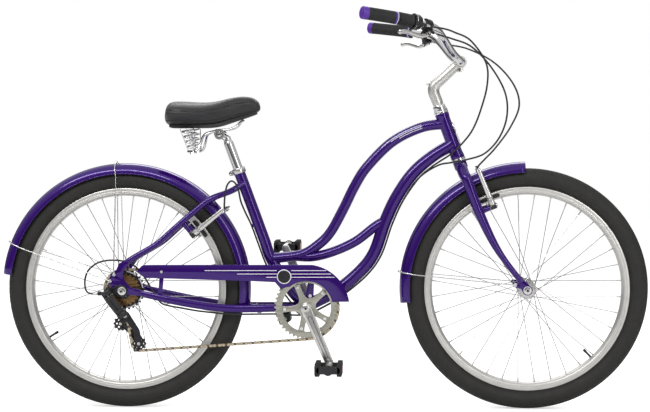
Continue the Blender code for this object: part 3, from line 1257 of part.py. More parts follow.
def make_seat():
    collar_low = seat(SEAT_TUBE_TOP - 0.016)
    bore = clear_bore(SEAT_TUBE_RADIUS)
    collar = rod(collar_low, collar_low + 0.0155 * SEAT_UP, SEAT_TUBE_RADIUS + 0.0045)
    item = add("seat_collar", collar, SILVER, collar_low)
    behind = collar_low + 0.008 * SEAT_UP - (SEAT_TUBE_RADIUS + 0.0060) * STEER_FORWARD
    join(item, block(behind, (0.010, 0.016, 0.012), STEER_FORWARD, SEAT_UP))
    join(item, rod(behind - 0.014 * SIDEWAYS, behind + 0.014 * SIDEWAYS, 0.003, 6))
    cut(item, rod(collar_low - 0.01 * SEAT_UP, collar_low + 0.03 * SEAT_UP, bore))
    clamp = saddle_clamp()
    grip = clamp + at(-0.008, 0, 0.0135)
    post = [seat(SEAT_TUBE_TOP - SEATPOST_INSERTION), clamp - 0.034 * SEAT_UP,
        clamp - 0.026 * SEAT_UP, clamp, grip]
    radii = (SEATPOST_RADIUS, SEATPOST_RADIUS, 0.0110, 0.0110, 0.0100)
    item = add("seatpost", sweep(post, radii, 10), SILVER, post[0])
    join(item, rod(grip - 0.030 * SIDEWAYS, grip + 0.030 * SIDEWAYS, 0.0125))
    rails = rail_path()
    for side in SIDES.values():
        path = [point for point in rails if abs(point[0] - grip[0]) < 0.026 and point[1] * side > 0]
        cut(item, sweep(path, clear_bore(RAIL_RADIUS, 5), SMALL_ROUND))


def rail_route():
    """The saddle rails' side view, from the nose down through the clamp to the springs' feet."""
    clamp = saddle_clamp()
    side_view = [(0.040, 0.0410), (0.020, 0.033), (-0.004, 0.0235), (-0.032, 0.0155)]
    side_view += [(-0.055, 0.006), (-0.065, -0.018), (-0.072, -0.036), (-0.086, -0.0435)]
    return [clamp + at(x, 0, z) for x, z in side_view]


def spring_ends():
    clamp = saddle_clamp()
    return clamp + at(-0.089, 0, -0.0365), clamp + at(-0.101, 0, 0.0235)


def rail_path():
    side_view = rail_route()
    spread = (0.010, 0.021, 0.021, 0.021, 0.036, 0.052, SPRING_Y, SPRING_Y)
    left = [point + y * SIDEWAYS for point, y in zip(side_view, spread)]
    front = side_view[0] + at(0.009, 0, 0.0030)
    return smooth(mirrored(left)[::-1] + [front] + left, 27)


def make_rails():
    path = rail_path()
    item = add("saddle_rails", sweep(path, RAIL_RADIUS, 5, seed=at(0, 0, 1)), SILVER, path[len(path) // 2])
    foot, _ = spring_ends()
    for side in SIDES.values():
        pad = foot + side * SPRING_Y * SIDEWAYS - at(0, 0, GAP)
        join(item, rod(pad, pad - at(0, 0, 0.0065), 0.0125, 10))
    return item


def make_spring(word, side):
    """A cone of wire in one unbroken helix, wide under the saddle and narrow at the rail."""
    foot, top = spring_ends()
    foot = foot + side * SPRING_Y * SIDEWAYS
    top = top + side * SPRING_Y * SIDEWAYS
    steps = int(SPRING_TURNS * 8) + 1
    points = []
    rise = top - foot
    margin = SPRING_WIRE + GAP
    for k in range(steps):
        share = k / (steps - 1)
        radius = 0.0095 + 0.0075 * share
        angle = side * 2 * math.pi * SPRING_TURNS * share
        height = margin + (rise[2] - 2 * margin) * share
        centre = foot + at(rise[0] * height / rise[2], 0, height)
        points.append(centre + at(radius * math.cos(angle), radius * math.sin(angle), 0))
    apart = [np.linalg.norm(a - b) for i, a in enumerate(points) for b in points[i + 5 :]]
    print(f"saddle_spring_{word}: least gap to itself {1000 * (min(apart) - 2 * SPRING_WIRE):.2f} mm")
    return wire("saddle_spring_" + word, points, SPRING_WIRE, SILVER, foot)


def make_saddle():
    """The padded top, crowned with its sides drawn in under the wings, and the shell beneath it."""
    clamp = saddle_clamp()
    around = 14
    verts = []
    for x, half, top, edge in SADDLE_STATIONS:
        low = edge + 0.006
        for k in range(around):
            angle = 2 * math.pi * k / around
            side = math.copysign(abs(math.cos(angle)) ** 0.72, math.cos(angle))
            lift = math.sin(angle)
            belly = (top - low) * (lift * 0.5 + 0.5) if lift > 0 else (top - low) * (0.5 + 0.5 * lift)
            draw = 1.0 - 0.10 * max(0.0, -lift)
            verts.append(clamp + at(x, half * side * draw, low + belly))
    count = len(SADDLE_STATIONS)
    faces = [list(range(around)), list(range(len(verts) - around, len(verts)))]
    for i in range(count - 1):
        for k in range(around):
            a = i * around + k
            b = i * around + (k + 1) % around
            faces.append([a, b, b + around, a + around])
    cushion = add("saddle_cushion", (verts, faces), LEATHER, clamp)
    verts = []
    for x, half, top, edge in SADDLE_STATIONS[1:-1]:
        for side, lift in ((-0.80, 0.0), (0.80, 0.0), (0.80, 0.0045), (-0.80, 0.0045)):
            verts.append(clamp + at(x * 0.97, half * side * 0.78, edge + lift))
    rings = len(SADDLE_STATIONS) - 2
    faces = [[0, 1, 2, 3], [len(verts) - 4 + k for k in range(4)]]
    for i in range(rings - 1):
        for k in range(4):
            a = i * 4 + k
            b = i * 4 + (k + 1) % 4
            faces.append([a, b, b + 4, a + 4])
    base = add("saddle_base", (verts, faces), DARK, clamp)
    return cushion, base


def place_joints():
    """One empty per joint, what hangs from a moving piece made before the piece it hangs from."""
    for word, axle in (("rear", REAR_AXLE), ("front", FRONT_AXLE)):
        joint(word + "_wheel_axis", axle, SIDEWAYS, word + "_tyre", word + "_rim", word + "_hub")
    joint("freewheel_axis", REAR_AXLE, SIDEWAYS, "freewheel")
    for word, side in SIDES.items():
        joint("pedal_axis_" + word, pedal_eye(side), SIDEWAYS, "pedal_" + word)
        _, _, _, hinge, outer = lever_place(side)
        joint("lever_axis_" + word, hinge, outer, "brake_lever_" + word)
        for end, axle, degrees in (("rear", REAR_AXLE, REAR_BRAKE_ANGLE),
            ("front", FRONT_AXLE, FRONT_BRAKE_ANGLE)):
            outward, root = brake_frame(axle, degrees)
            stud = axle + BRAKE_PIVOT_RADIUS * outward + side * BRAKE_PIVOT_Y * SIDEWAYS
            joint(f"{end}_brake_axis_{word}", stud, root, f"{end}_brake_arm_{word}")
    cranks = ["chainring", "bb_spindle", "crank_left", "crank_right", "pedal_axis_left", "pedal_axis_right"]
    joint("crank_axis", BB, SIDEWAYS, *cranks)
    joint("twist_axis", *twist_place(), "twist_shifter")
    turns_with_fork = ["fork", "stem", "handlebar", "headset_locknut", "grip_left", "grip_right",
        "shifter_housing"]
    turns_with_fork += ["twist_axis", "front_fender", "front_stay", "front_axle",
        "front_wheel_axis", "front_brake_cable"]
    for word in SIDES:
        turns_with_fork += ["lever_bracket_" + word, "lever_axis_" + word, "front_brake_axis_" + word]
    joint("steering_axis", head(HEAD_BOTTOM), STEER_UP, *turns_with_fork)
    fixed, moved, _, axis = link_frame()
    hinge = from_axle(REAR_AXLE, *CAGE_HINGE)
    for word, spot in (("guide", GUIDE_PULLEY), ("tension", TENSION_PULLEY)):
        centre = from_axle(REAR_AXLE, *spot, LARGEST_COG_Y)
        joint(word + "_pulley_axis", centre, SIDEWAYS, word + "_pulley")
    joint("cage_axis", hinge, SIDEWAYS, "derailleur_cage", "guide_pulley_axis", "tension_pulley_axis")
    outer_fixed, outer_moved = LINK_PINS["outer"]
    joint("knuckle_axis", moved + outer_moved * SIDEWAYS, axis, "derailleur_knuckle", "cage_axis")
    joint("outer_link_axis", fixed + outer_fixed * SIDEWAYS, axis, "derailleur_outer_link", "knuckle_axis")
    joint("inner_link_axis", fixed + LINK_PINS["inner"][0] * SIDEWAYS, axis, "derailleur_inner_link")
    nose = rail_path()[len(rail_path()) // 2]
    joint("saddle_axis", nose, SIDEWAYS, "saddle_cushion", "saddle_base")
    carried = ["seatpost", "saddle_rails", "saddle_spring_left", "saddle_spring_right", "saddle_axis"]
    joint("seatpost_axis", seat(SEAT_TUBE_TOP), SEAT_UP, *carried)


def clear_scene():
    for item in list(bpy.data.objects):
        bpy.data.objects.remove(item)


def main():
    clear_scene()
    make_frame()
    make_fork()
    make_headset()
    make_stem()
    make_handlebar()
    make_grips()
    make_shifter()
    make_levers()
    wheel("rear", REAR_AXLE, HUB_HALF_LENGTH, -REAR_HUB_RIGHT, 0.034, -0.0205)
    wheel("front", FRONT_AXLE, HUB_HALF_LENGTH, -HUB_HALF_LENGTH, 0.033, -0.033)
    nut = REAR_OLD / 2 + DROPOUT_PLATE + GAP
    hub = HUB_HALF_LENGTH + GAP
    bearing_seats("rear_axle", REAR_AXLE, 0.0885, REAR_OLD / 2, (hub, REAR_HUB_RIGHT + GAP),
        (nut, nut + CLAW_PLATE + GAP))
    nut = FRONT_OLD / 2 + DROPOUT_PLATE + GAP
    bearing_seats("front_axle", FRONT_AXLE, 0.068, FRONT_OLD / 2, (hub, hub), (nut, nut))
    bridges = [bearing(REAR_AXLE, from_axle(REAR_AXLE, *place)) for place in (SEATSTAY_BRIDGE,
        CHAINSTAY_BRIDGE)]
    fender("rear_fender", REAR_AXLE, (173, *bridges, bridges[1] - 1.5), (9, 4, 1))
    fender("front_fender", FRONT_AXLE, (90.6, bearing(FRONT_AXLE, crown_foot()), 186.4), (2, 7))
    eye = REAR_OLD / 2 + DROPOUT_PLATE + GAP + 0.0017
    fender_stay("rear_stay_upper", REAR_AXLE, 94, (-0.022, 0.046), eye)
    fender_stay("rear_stay_lower", REAR_AXLE, 158, (-0.033, 0.028), eye)
    fender_stay("front_stay", FRONT_AXLE, 172.2, (-0.034, 0.015),
        FRONT_OLD / 2 + DROPOUT_PLATE + GAP + 0.0017)
    for word, side in SIDES.items():
        brake_arm("rear_brake_arm_" + word, REAR_AXLE, REAR_BRAKE_ANGLE, side)
        brake_arm("front_brake_arm_" + word, FRONT_AXLE, FRONT_BRAKE_ANGLE, side)
    make_freewheel()
    make_crankset()
    make_chain()
    make_derailleur()
    make_chainguard()
    make_seat()
    make_rails()
    make_saddle()
    for word, side in SIDES.items():
        make_spring(word, side)
    wire("front_brake_cable", eased(FRONT_BRAKE_ROUTE, CABLE_SAG), CABLE_RADIUS, DARK)
    wire("rear_brake_cable", eased(REAR_BRAKE_ROUTE, CABLE_SAG), CABLE_RADIUS, DARK)
    wire("shift_cable", eased(SHIFT_ROUTE, CABLE_SAG), CABLE_RADIUS, DARK)
    place_joints()


main()
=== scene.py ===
import math

import bmesh
import bpy
import numpy as np
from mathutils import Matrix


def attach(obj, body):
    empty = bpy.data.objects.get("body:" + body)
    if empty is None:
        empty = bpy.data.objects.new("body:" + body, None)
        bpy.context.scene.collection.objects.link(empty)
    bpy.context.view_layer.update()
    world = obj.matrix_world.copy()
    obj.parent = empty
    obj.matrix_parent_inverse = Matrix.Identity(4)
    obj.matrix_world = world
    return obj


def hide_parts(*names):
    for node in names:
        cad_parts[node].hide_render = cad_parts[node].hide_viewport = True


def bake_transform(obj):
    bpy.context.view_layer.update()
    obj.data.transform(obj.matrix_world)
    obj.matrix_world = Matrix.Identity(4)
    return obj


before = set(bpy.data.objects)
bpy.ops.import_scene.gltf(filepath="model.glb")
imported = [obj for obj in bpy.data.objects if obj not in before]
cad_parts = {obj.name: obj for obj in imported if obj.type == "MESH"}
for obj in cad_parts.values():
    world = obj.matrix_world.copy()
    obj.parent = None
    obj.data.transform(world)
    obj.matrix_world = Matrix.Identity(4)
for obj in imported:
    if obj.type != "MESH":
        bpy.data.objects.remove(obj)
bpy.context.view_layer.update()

# Metres: +X forward, +Y to the rider's left, the ground at Z = 0
forward, sideways, upward = np.eye(3)
rearAxle = np.array((0.0, 0.0, 0.335))
frontAxle = np.array((1.122, 0.0, 0.335))
bottomBracket = np.array((0.511754, 0.0, 0.287))
tubeOffset = 0.0534  # from the front axle back to the steering axis, and from the bracket to the seat tube
lean = math.radians(70)
steerUp = np.array((-math.cos(lean), 0.0, math.sin(lean)))
steerAhead = np.array((math.sin(lean), 0.0, math.cos(lean)))
sides = {"left": 1, "right": -1}


def point(x, y, z):
    return np.array((x, y, z), float)


def unit(vector):
    return vector / np.linalg.norm(vector)


def unitRows(vectors):
    return vectors / np.linalg.norm(vectors, axis=1)[:, None]


def headAt(distance):
    return frontAxle - tubeOffset * steerAhead + distance * steerUp


def seatAt(distance):
    return bottomBracket - tubeOffset * forward + distance * steerUp


def polar(centre, radius, degrees, y=0.0):
    turn = math.radians(degrees)
    return centre + point(radius * math.cos(turn), y, radius * math.sin(turn))


def span(side, near, far):
    # two levels on one side of the middle, the lower first
    return sorted((side * near, side * far))


class Wire:
    # a socket whose operators add Math nodes
    def __init__(self, recipe, socket):
        self.recipe, self.socket = recipe, socket

    def maths(self, operation, first, second):
        return self.recipe.node("ShaderNodeMath", {"operation": operation}, {0: first, 1: second})

    def __add__(self, other):
        return self.maths("ADD", self, other)

    def __radd__(self, other):
        return self.maths("ADD", other, self)

    def __mul__(self, other):
        return self.maths("MULTIPLY", self, other)

    def __rmul__(self, other):
        return self.maths("MULTIPLY", other, self)


class Recipe:
    # a node tree whose nodes all come from one method: type, settings, then sockets
    def __init__(self, tree):
        self.tree = tree

    def node(self, kind, settings=None, inputs=None, out=0):
        made = self.tree.nodes.new(kind)
        for key, value in (settings or {}).items():
            if key == "stops":
                self.setStops(made.color_ramp.elements, value)
            else:
                setattr(made, key, value)
        for key, value in (inputs or {}).items():
            self.feed(made.inputs[key], value)
        return Wire(self, made.outputs[out])

    def setStops(self, elements, stops):
        while len(elements) < len(stops):
            elements.new(0.5)
        for element, (spot, level) in zip(elements, stops):
            element.position = spot
            element.color = (level, level, level * 1.01, 1)

    def feed(self, socket, value):
        if isinstance(value, Wire):
            self.tree.links.new(value.socket, socket)
        else:
            socket.default_value = value


class Finish(Recipe):
    # one material: plain values go on the shader's own sockets, varying ones come in by node
    def __init__(self, name, **plain):
        self.material = bpy.data.materials.new(name)
        self.material.use_nodes = True
        super().__init__(self.material.node_tree)
        self.shader = self.tree.nodes["Principled BSDF"]
        self.place = self.node("ShaderNodeTexCoord", out="Object")
        for key, value in plain.items():
            self.feed(self.shader.inputs[key.replace("_", " ")], value)

    def noise(self, scale, detail=3.0, stretch=(1, 1, 1)):
        where = self.node("ShaderNodeVectorMath", {"operation": "MULTIPLY"}, {0: self.place, 1: stretch})
        return self.node("ShaderNodeTexNoise", None, {"Vector": where, "Scale": scale, "Detail": detail})

    def cells(self, scale):
        return self.node("ShaderNodeTexVoronoi", None, {"Vector": self.place, "Scale": scale})

    def blend(self, factor, first, second):
        inputs = {0: factor, 6: (*first, 1), 7: (*second, 1)}
        return self.node("ShaderNodeMix", {"data_type": "RGBA"}, inputs, out=2)

    def colour(self, factor, first, second):
        self.feed(self.shader.inputs["Base Color"], self.blend(factor, first, second))

    def rough(self, value):
        self.feed(self.shader.inputs["Roughness"], value)

    def bump(self, height, distance, strength):
        inputs = {"Height": height, "Distance": distance, "Strength": strength}
        self.feed(self.shader.inputs["Normal"], self.node("ShaderNodeBump", None, inputs))


def makeFinishes():
    made = {}
    paint = Finish("violetPaint", Coat_Weight=0.62, Coat_Roughness=0.03, Specular_IOR_Level=0.2, Metallic=0.3)
    flake = paint.noise(900, 2)
    paint.colour(flake * 0.35 + paint.noise(3, 2) * 0.3, (0.026, 0.0005, 0.12), (0.043, 0.0012, 0.205))
    paint.rough(flake * 0.1 + 0.16)
    paint.bump(paint.noise(220, 2), 0.00006, 0.25)
    made["paint"] = paint
    accent = Finish("violetResin", Specular_IOR_Level=0.5)
    accent.colour(accent.noise(120), (0.065, 0.012, 0.26), (0.1, 0.022, 0.36))
    accent.rough(accent.noise(300) * 0.15 + 0.3)
    accent.bump(accent.noise(900), 0.0001, 0.3)
    made["accent"] = accent
    # polished metal carries fine drawn scratches along Z and a slow tarnish
    for name, dark, light, low, spread in (
        ("alloy", (0.62, 0.61, 0.59), (0.74, 0.73, 0.71), 0.24, 0.08),
        ("chrome", (0.7, 0.7, 0.7), (0.8, 0.8, 0.79), 0.06, 0.05),
        ("castAlloy", (0.6, 0.59, 0.56), (0.72, 0.71, 0.68), 0.26, 0.08),
        ("satin", (0.6, 0.59, 0.56), (0.71, 0.7, 0.67), 0.38, 0.08),
        ("ringAlloy", (0.43, 0.42, 0.36), (0.55, 0.54, 0.47), 0.34, 0.1),
        ("spokeSteel", (0.3, 0.3, 0.3), (0.44, 0.44, 0.43), 0.22, 0.1),
        ("blackMetal", (0.015, 0.015, 0.017), (0.04, 0.04, 0.043), 0.3, 0.18),
        ("chainSteel", (0.42, 0.33, 0.22), (0.66, 0.56, 0.4), 0.3, 0.16),
        # chainDark is the chain steel made darker: painted shade for the inner links, which are the same
        # steel as the outer ones
        ("chainDark", (0.1, 0.075, 0.05), (0.22, 0.17, 0.11), 0.34, 0.16),
        ("bronze", (0.02, 0.012, 0.006), (0.5, 0.3, 0.13), 0.3, 0.24),
    ):
        metal = Finish(name, Metallic=1.0 if name != "blackMetal" else 0.55)
        cloud = metal.noise(46 if name != "bronze" else 260, 3)
        metal.colour(cloud, dark, light)
        metal.rough(metal.noise(90, 3, (1, 1, 0.08)) * spread + low)
        metal.bump(metal.noise(160, 2, (1, 1, 0.1)), 0.00002, 0.1)
        made[name] = metal
    # rubbers and plastics: fine grain, with dust that lightens the hollows
    for name, dark, light, low, spread, grain, depth in (
        ("tyreRubber", (0.0095, 0.0095, 0.0085), (0.022, 0.021, 0.018), 0.55, 0.25, 500, 0.00015),
        ("gripRubber", (0.014, 0.014, 0.015), (0.034, 0.034, 0.035), 0.55, 0.2, 900, 0.0002),
        ("blackResin", (0.012, 0.012, 0.013), (0.026, 0.026, 0.028), 0.34, 0.16, 1300, 0.0001),
        ("cableSkin", (0.01, 0.01, 0.011), (0.02, 0.02, 0.021), 0.3, 0.12, 600, 0.00005),
        ("padRubber", (0.016, 0.015, 0.015), (0.03, 0.029, 0.028), 0.75, 0.15, 700, 0.0002),
    ):
        soft = Finish(name, Specular_IOR_Level=0.42)
        soft.colour(soft.noise(35, 4), dark, light)
        soft.rough(soft.noise(150, 3) * spread + low)
        soft.bump(soft.noise(grain, 2), depth, 0.5)
        made[name] = soft
    cover = Finish("saddleVinyl", Specular_IOR_Level=0.48, Sheen_Weight=0.15, Sheen_Roughness=0.4)
    pores = cover.cells(1100)
    cover.colour(cover.noise(14, 3), (0.012, 0.011, 0.012), (0.026, 0.024, 0.025))
    cover.rough(pores * 0.22 + cover.noise(40, 2) * 0.12 + 0.26)
    cover.bump(pores, 0.0003, 0.45)
    made["vinyl"] = cover
    lens = Finish("amberLens", Specular_IOR_Level=0.6, Coat_Weight=0.5)
    facets = lens.cells(420)
    lens.colour(facets, (0.75, 0.16, 0.01), (0.42, 0.07, 0.006))
    lens.rough(facets * 0.3 + 0.15)
    lens.bump(facets, 0.0006, 0.8)
    made["amber"] = lens
    stripe = Finish("whiteStripe", Coat_Weight=0.4)
    stripe.colour(stripe.noise(200), (0.78, 0.77, 0.8), (0.9, 0.89, 0.92))
    stripe.rough(stripe.noise(300) * 0.1 + 0.25)
    made["stripe"] = stripe
    return {name: recipe.material for name, recipe in made.items()}


finishes = makeFinishes()
print("finishes mixed:", len(finishes))


def lengthAlong(line):
    return np.concatenate(([0], np.cumsum(np.linalg.norm(np.diff(line[:, :3], axis=0), axis=1))))


def sampled(line, marks, wanted):
    # the line's columns read between its rows, whose marks rise
    return np.array([np.interp(wanted, marks, column) for column in line.T]).T


def curveThrough(points, step):
    # cubic p(t) through each pair of knots, its slope half the way between their neighbours
    knots = np.array(points, float)
    padded = np.vstack((2 * knots[0] - knots[1], knots, 2 * knots[-1] - knots[-2]))
    t = np.linspace(0, 1, 24, endpoint=False)[:, None, None]
    a, b, c, d = (padded[i : len(knots) - 1 + i] for i in range(4))
    fine = 0.5 * (2 * b + (c - a) * t + (2 * a - 5 * b + 4 * c - d) * t**2 + (3 * b - 3 * c + d - a) * t**3)
    fine = np.vstack((fine.transpose(1, 0, 2).reshape(-1, knots.shape[1]), knots[-1:]))
    return evenSteps(fine, step)


def evenSteps(fine, step):
    # the same line at even steps of its length
    length = lengthAlong(fine)
    return sampled(fine, length, np.linspace(0, length[-1], max(2, round(length[-1] / step) + 1)))


def carried(path, seed):
    # normal and binormal along a path, the normal turned as little as the path allows
    tangent = unitRows(np.gradient(path, axis=0))
    normal = np.empty_like(path)
    kept = np.array(seed, float)
    if abs(tangent[0] @ kept) > 0.98:
        kept = np.array((0.9, 0.1, 0.42))
    for i, way in enumerate(tangent):
        kept = unit(kept - kept @ way * way)
        normal[i] = kept
    return normal, np.cross(tangent, normal)


def skin(grid, closedU=False, closedV=True, caps=True):
    # quads over a grid of points; open ends are capped
    index = np.arange(grid.shape[0] * grid.shape[1]).reshape(grid.shape[:2])
    ring = np.pad(index, ((0, int(closedU)), (0, int(closedV))), mode="wrap")
    quads = np.stack((ring[:-1, :-1], ring[:-1, 1:], ring[1:, 1:], ring[1:, :-1]), axis=-1).reshape(-1, 4)
    faces = [quads]
    if caps and not closedU:
        faces += [index[:1, ::-1], index[-1:]]
    return grid.reshape(-1, 3), faces


def tube(path, radius, around, squash=1.0, seed=sideways):
    # p(s, a) = path(s) + radius(s) (squash cos a normal + sin a binormal)
    path = np.array(path, float)[:, :3]
    normal, binormal = carried(path, seed)
    turn = np.linspace(0, 2 * np.pi, around, endpoint=False)[:, None]
    size = np.broadcast_to(radius, len(path))[:, None, None]
    offset = squash * np.cos(turn) * normal[:, None] + np.sin(turn) * binormal[:, None]
    return skin(path[:, None] + size * offset)


def tapered(run, sizes, step, around, squash=1.0, seed=sideways):
    # a tube through the run's knots, each with its own radius
    curve = curveThrough(np.column_stack((run, sizes)), step)
    return tube(curve, curve[:, 3], around, squash, seed)


def rod(start, end, radius, around=24, edge=0.0006):
    # a straight round bar whose ends are eased by a small chamfer
    way = unit(end - start)
    length = np.linalg.norm(end - start)
    ease = min(edge, 0.4 * radius, 0.4 * length)
    profile = [(radius - ease, 0), (radius, ease), (radius, length - ease), (radius - ease, length)]
    return turned(start, profile, way, around)


def turned(centre, profile, axis=sideways, around=48, looped=False):
    # p(a, k) = centre + r(k) (cos a u + sin a v) + h(k) axis
    axis = unit(np.array(axis, float))
    u = unit(np.cross(axis, (0.2, 0.3, 0.9))) if abs(axis[1]) < 0.9 else forward
    v = np.cross(axis, u)
    profile = np.array(profile, float)
    if not looped:
        profile = np.vstack(((0, profile[0, 1]), profile, (0, profile[-1, 1])))
    turn = np.linspace(0, 2 * np.pi, around, endpoint=False)[:, None, None]
    grid = centre + profile[:, :1] * (np.cos(turn) * u + np.sin(turn) * v) + profile[:, 1:] * axis
    return skin(grid, closedU=True, closedV=looped, caps=False)


def bush(inner, outer, low, high):
    # the profile of a plain ring
    return [(inner, low), (outer, low), (outer, high), (inner, high)]


def facing(profile, side):
    # a lathe profile turned to face one side
    return np.array(profile, float) * (1, side)


def gathered(items, name, width=1, kind=int):
    values = np.empty(len(items) * width, kind)
    items.foreach_get(name, values)
    return values


def slab(outlines, low, high, place=(0, 0, 0), across=forward, up=upward, edge=0.0005):
    # outlines in a plane, the later ones holes, given a thickness and rounded edges
    flat = bpy.data.curves.new("outline", "CURVE")
    flat.dimensions = "2D"
    flat.fill_mode = "BOTH"
    edge = min(edge, 0.45 * (high - low))
    flat.bevel_depth = edge
    flat.bevel_resolution = 1
    flat.offset = -edge
    flat.extrude = (high - low) / 2 - edge
    for outline in outlines:
        line = flat.splines.new("POLY")
        line.points.add(len(outline) - 1)
        row = np.column_stack((np.array(outline, float), np.zeros(len(outline)), np.ones(len(outline))))
        line.points.foreach_set("co", row.ravel())
        line.use_cyclic_u = True
    holder = bpy.data.objects.new("outline", flat)
    mesh = bpy.data.meshes.new_from_object(holder)
    local = gathered(mesh.vertices, "co", 3, float).reshape(-1, 3)
    corners = gathered(mesh.loops, "vertex_index")
    starts = gathered(mesh.polygons, "loop_start")
    totals = gathered(mesh.polygons, "loop_total")
    faces = [corners[starts[totals == n][:, None] + np.arange(n)] for n in np.unique(totals)]
    bpy.data.objects.remove(holder)
    bpy.data.meshes.remove(mesh)
    bpy.data.curves.remove(flat)
    across, up = unit(np.array(across, float)), unit(np.array(up, float))
    up = unit(up - up @ across * across)
    through = np.cross(up, across)
    middle = (low + high) / 2
    points = np.array(place) + local[:, :1] * across + local[:, 1:2] * up + (local[:, 2:] + middle) * through
    return points, faces


def arcPoints(centre, radius, start, end, count):
    turn = np.radians(np.linspace(start, end, count))
    return np.column_stack((centre[0] + radius * np.cos(turn), centre[1] + radius * np.sin(turn)))


def ring(radius, count, centre=(0, 0)):
    return arcPoints(centre, radius, 0, 360 * (1 - 1 / count), count)


def strap(a, b, radiusA, radiusB, count=14):
    # the outline round two circles
    a, b = np.array(a, float), np.array(b, float)
    heading = math.degrees(math.atan2(b[1] - a[1], b[0] - a[0]))
    tilt = math.degrees(math.asin((radiusA - radiusB) / np.linalg.norm(b - a)))
    far = arcPoints(b, radiusB, heading - 90 + tilt, heading + 90 - tilt, count)
    near = arcPoints(a, radiusA, heading + 90 - tilt, heading + 270 + tilt - 1, count)
    return np.vstack((far, near))


def gear(teeth, root, tip, flat=0.16):
    # each tooth: root, two flanks and a narrow tip
    share = np.array((-0.5, -0.3, -flat, flat, 0.3))
    size = np.array((root, root + 0.25 * (tip - root), tip, tip, root + 0.25 * (tip - root)))
    turn = 2 * np.pi * (np.arange(teeth)[:, None] + share) / teeth
    return np.column_stack(((size * np.cos(turn)).ravel(), (size * np.sin(turn)).ravel()))


def roundedBox(width, height, radius, count=6):
    x, y = width / 2 - radius, height / 2 - radius
    quarters = [((x, y), 0), ((-x, y), 90), ((-x, -y), 180), ((x, -y), 270)]
    return np.vstack([arcPoints(centre, radius, start, start + 90, count) for centre, start in quarters])


chainPitch = 0.0127


def pitchRadius(teeth):
    return chainPitch / (2 * math.sin(math.pi / teeth))


class Piece:
    # surfaces, each with its finish, gathered into one mesh that rides a body
    def __init__(self, name):
        self.name, self.points, self.faces, self.count = name, [], [], 0

    def put(self, surface, look):
        points, faces = surface
        self.faces += [(np.asarray(group) + self.count, look) for group in faces]
        self.points.append(points)
        self.count += len(points)
        return self

    def bolt(self, place, axis, radius, height, look="alloy"):
        # a button head with a socket sunk in it
        head = [(radius, 0), (radius, 0.5 * height), (0.8 * radius, height), (0.46 * radius, height)]
        self.put(turned(place, head + [(0.42 * radius, 0.35 * height)], axis, 18), look)

    def nut(self, place, axis, radius, height, look):
        axis = unit(np.array(axis, float))
        across = unit(np.cross(axis, (0.3, 0.2, 0.93)))
        outline = [ring(radius, 6), ring(0.42 * radius, 12)]
        self.put(slab(outline, 0, height, place, across, np.cross(across, axis)), look)
        self.put(turned(place - 0.0012 * axis, [(1.25 * radius, 0), (1.25 * radius, 0.001)], axis, 28), look)

    def done(self, body, *nodes, slot=None, smooth=38):
        mesh = bpy.data.meshes.new(self.name)
        rows = [row for group, _ in self.faces for row in group.tolist()]
        mesh.from_pydata(np.vstack(self.points).tolist(), [], rows)
        names = list(dict.fromkeys(look for _, look in self.faces))
        which = np.concatenate([np.full(len(group), names.index(look)) for group, look in self.faces])
        mesh.polygons.foreach_set("material_index", which)
        for name in names:
            mesh.materials.append(finishes[name])
        work = bmesh.new()
        work.from_mesh(mesh)
        bmesh.ops.remove_doubles(work, verts=work.verts, dist=2e-6)
        bmesh.ops.recalc_face_normals(work, faces=work.faces)
        work.to_mesh(mesh)
        work.free()
        mesh.shade_smooth()
        mesh.set_sharp_from_angle(angle=math.radians(smooth))
        item = bpy.data.objects.new(self.name, mesh)
        bpy.context.scene.collection.objects.link(item)
        if isinstance(body, tuple):
            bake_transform(item)
        else:
            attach(item, body)
        if nodes:
            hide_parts(*nodes)
        return item


wheelShape = {
    "middle": 0.3085, "section": 0.0265, "blocks": 84, "groove": 0.0011, "around": 880,
    "grooves": ((9, 2.2), (34, 2.0), (60, 2.2)), "ridges": (96, 128),  # degrees round the section
    "spokes": 36, "flange": 0.022, "nipple": 0.2612, "cross": 60,
}


def makeTyre(prefix, axle):
    # p(phi, a) = axle + (middle + r cos a) out(phi) + r sin a sideways, r cut back where a groove runs
    count = wheelShape["around"]
    a = np.radians(np.linspace(-148, 148, 76))[None]
    phi = np.linspace(0, 2 * np.pi, count, endpoint=False)[:, None]
    reach = np.abs(np.degrees(a))
    phase = (phi / (2 * np.pi) * wheelShape["blocks"] + reach / 46 + 0.5 * (a > 0)) % 1.0
    diagonal = (phase < 0.2) & (reach > 9) & (reach < 58)
    line = np.any([np.abs(reach - at) < half for at, half in wheelShape["grooves"]], axis=0)
    ridge = 0.0004 * np.any([np.abs(reach - at) < 2 for at in wheelShape["ridges"]], axis=0)
    radius = wheelShape["section"] - wheelShape["groove"] * (diagonal | line) + ridge - 0.0005 * (reach > 62)
    bead = np.array([(0.2765, 0.0139), (0.2765, 0.0099), (0.304, 0.0215)])
    inside = np.broadcast_to(np.vstack((bead, bead[::-1] * (1, -1))), (count, 6, 2))
    out = np.hstack((wheelShape["middle"] + radius * np.cos(a), inside[..., 0]))
    side = np.hstack((radius * np.sin(a), inside[..., 1]))
    grid = axle + np.stack((out * np.cos(phi), side, out * np.sin(phi)), axis=-1)
    tyre = Piece(prefix + "Tyre").put(skin(grid, closedU=True, caps=False), "tyreRubber")
    tyre.done(prefix + "_wheel", prefix + "_tyre", slot="tyre", smooth=50)


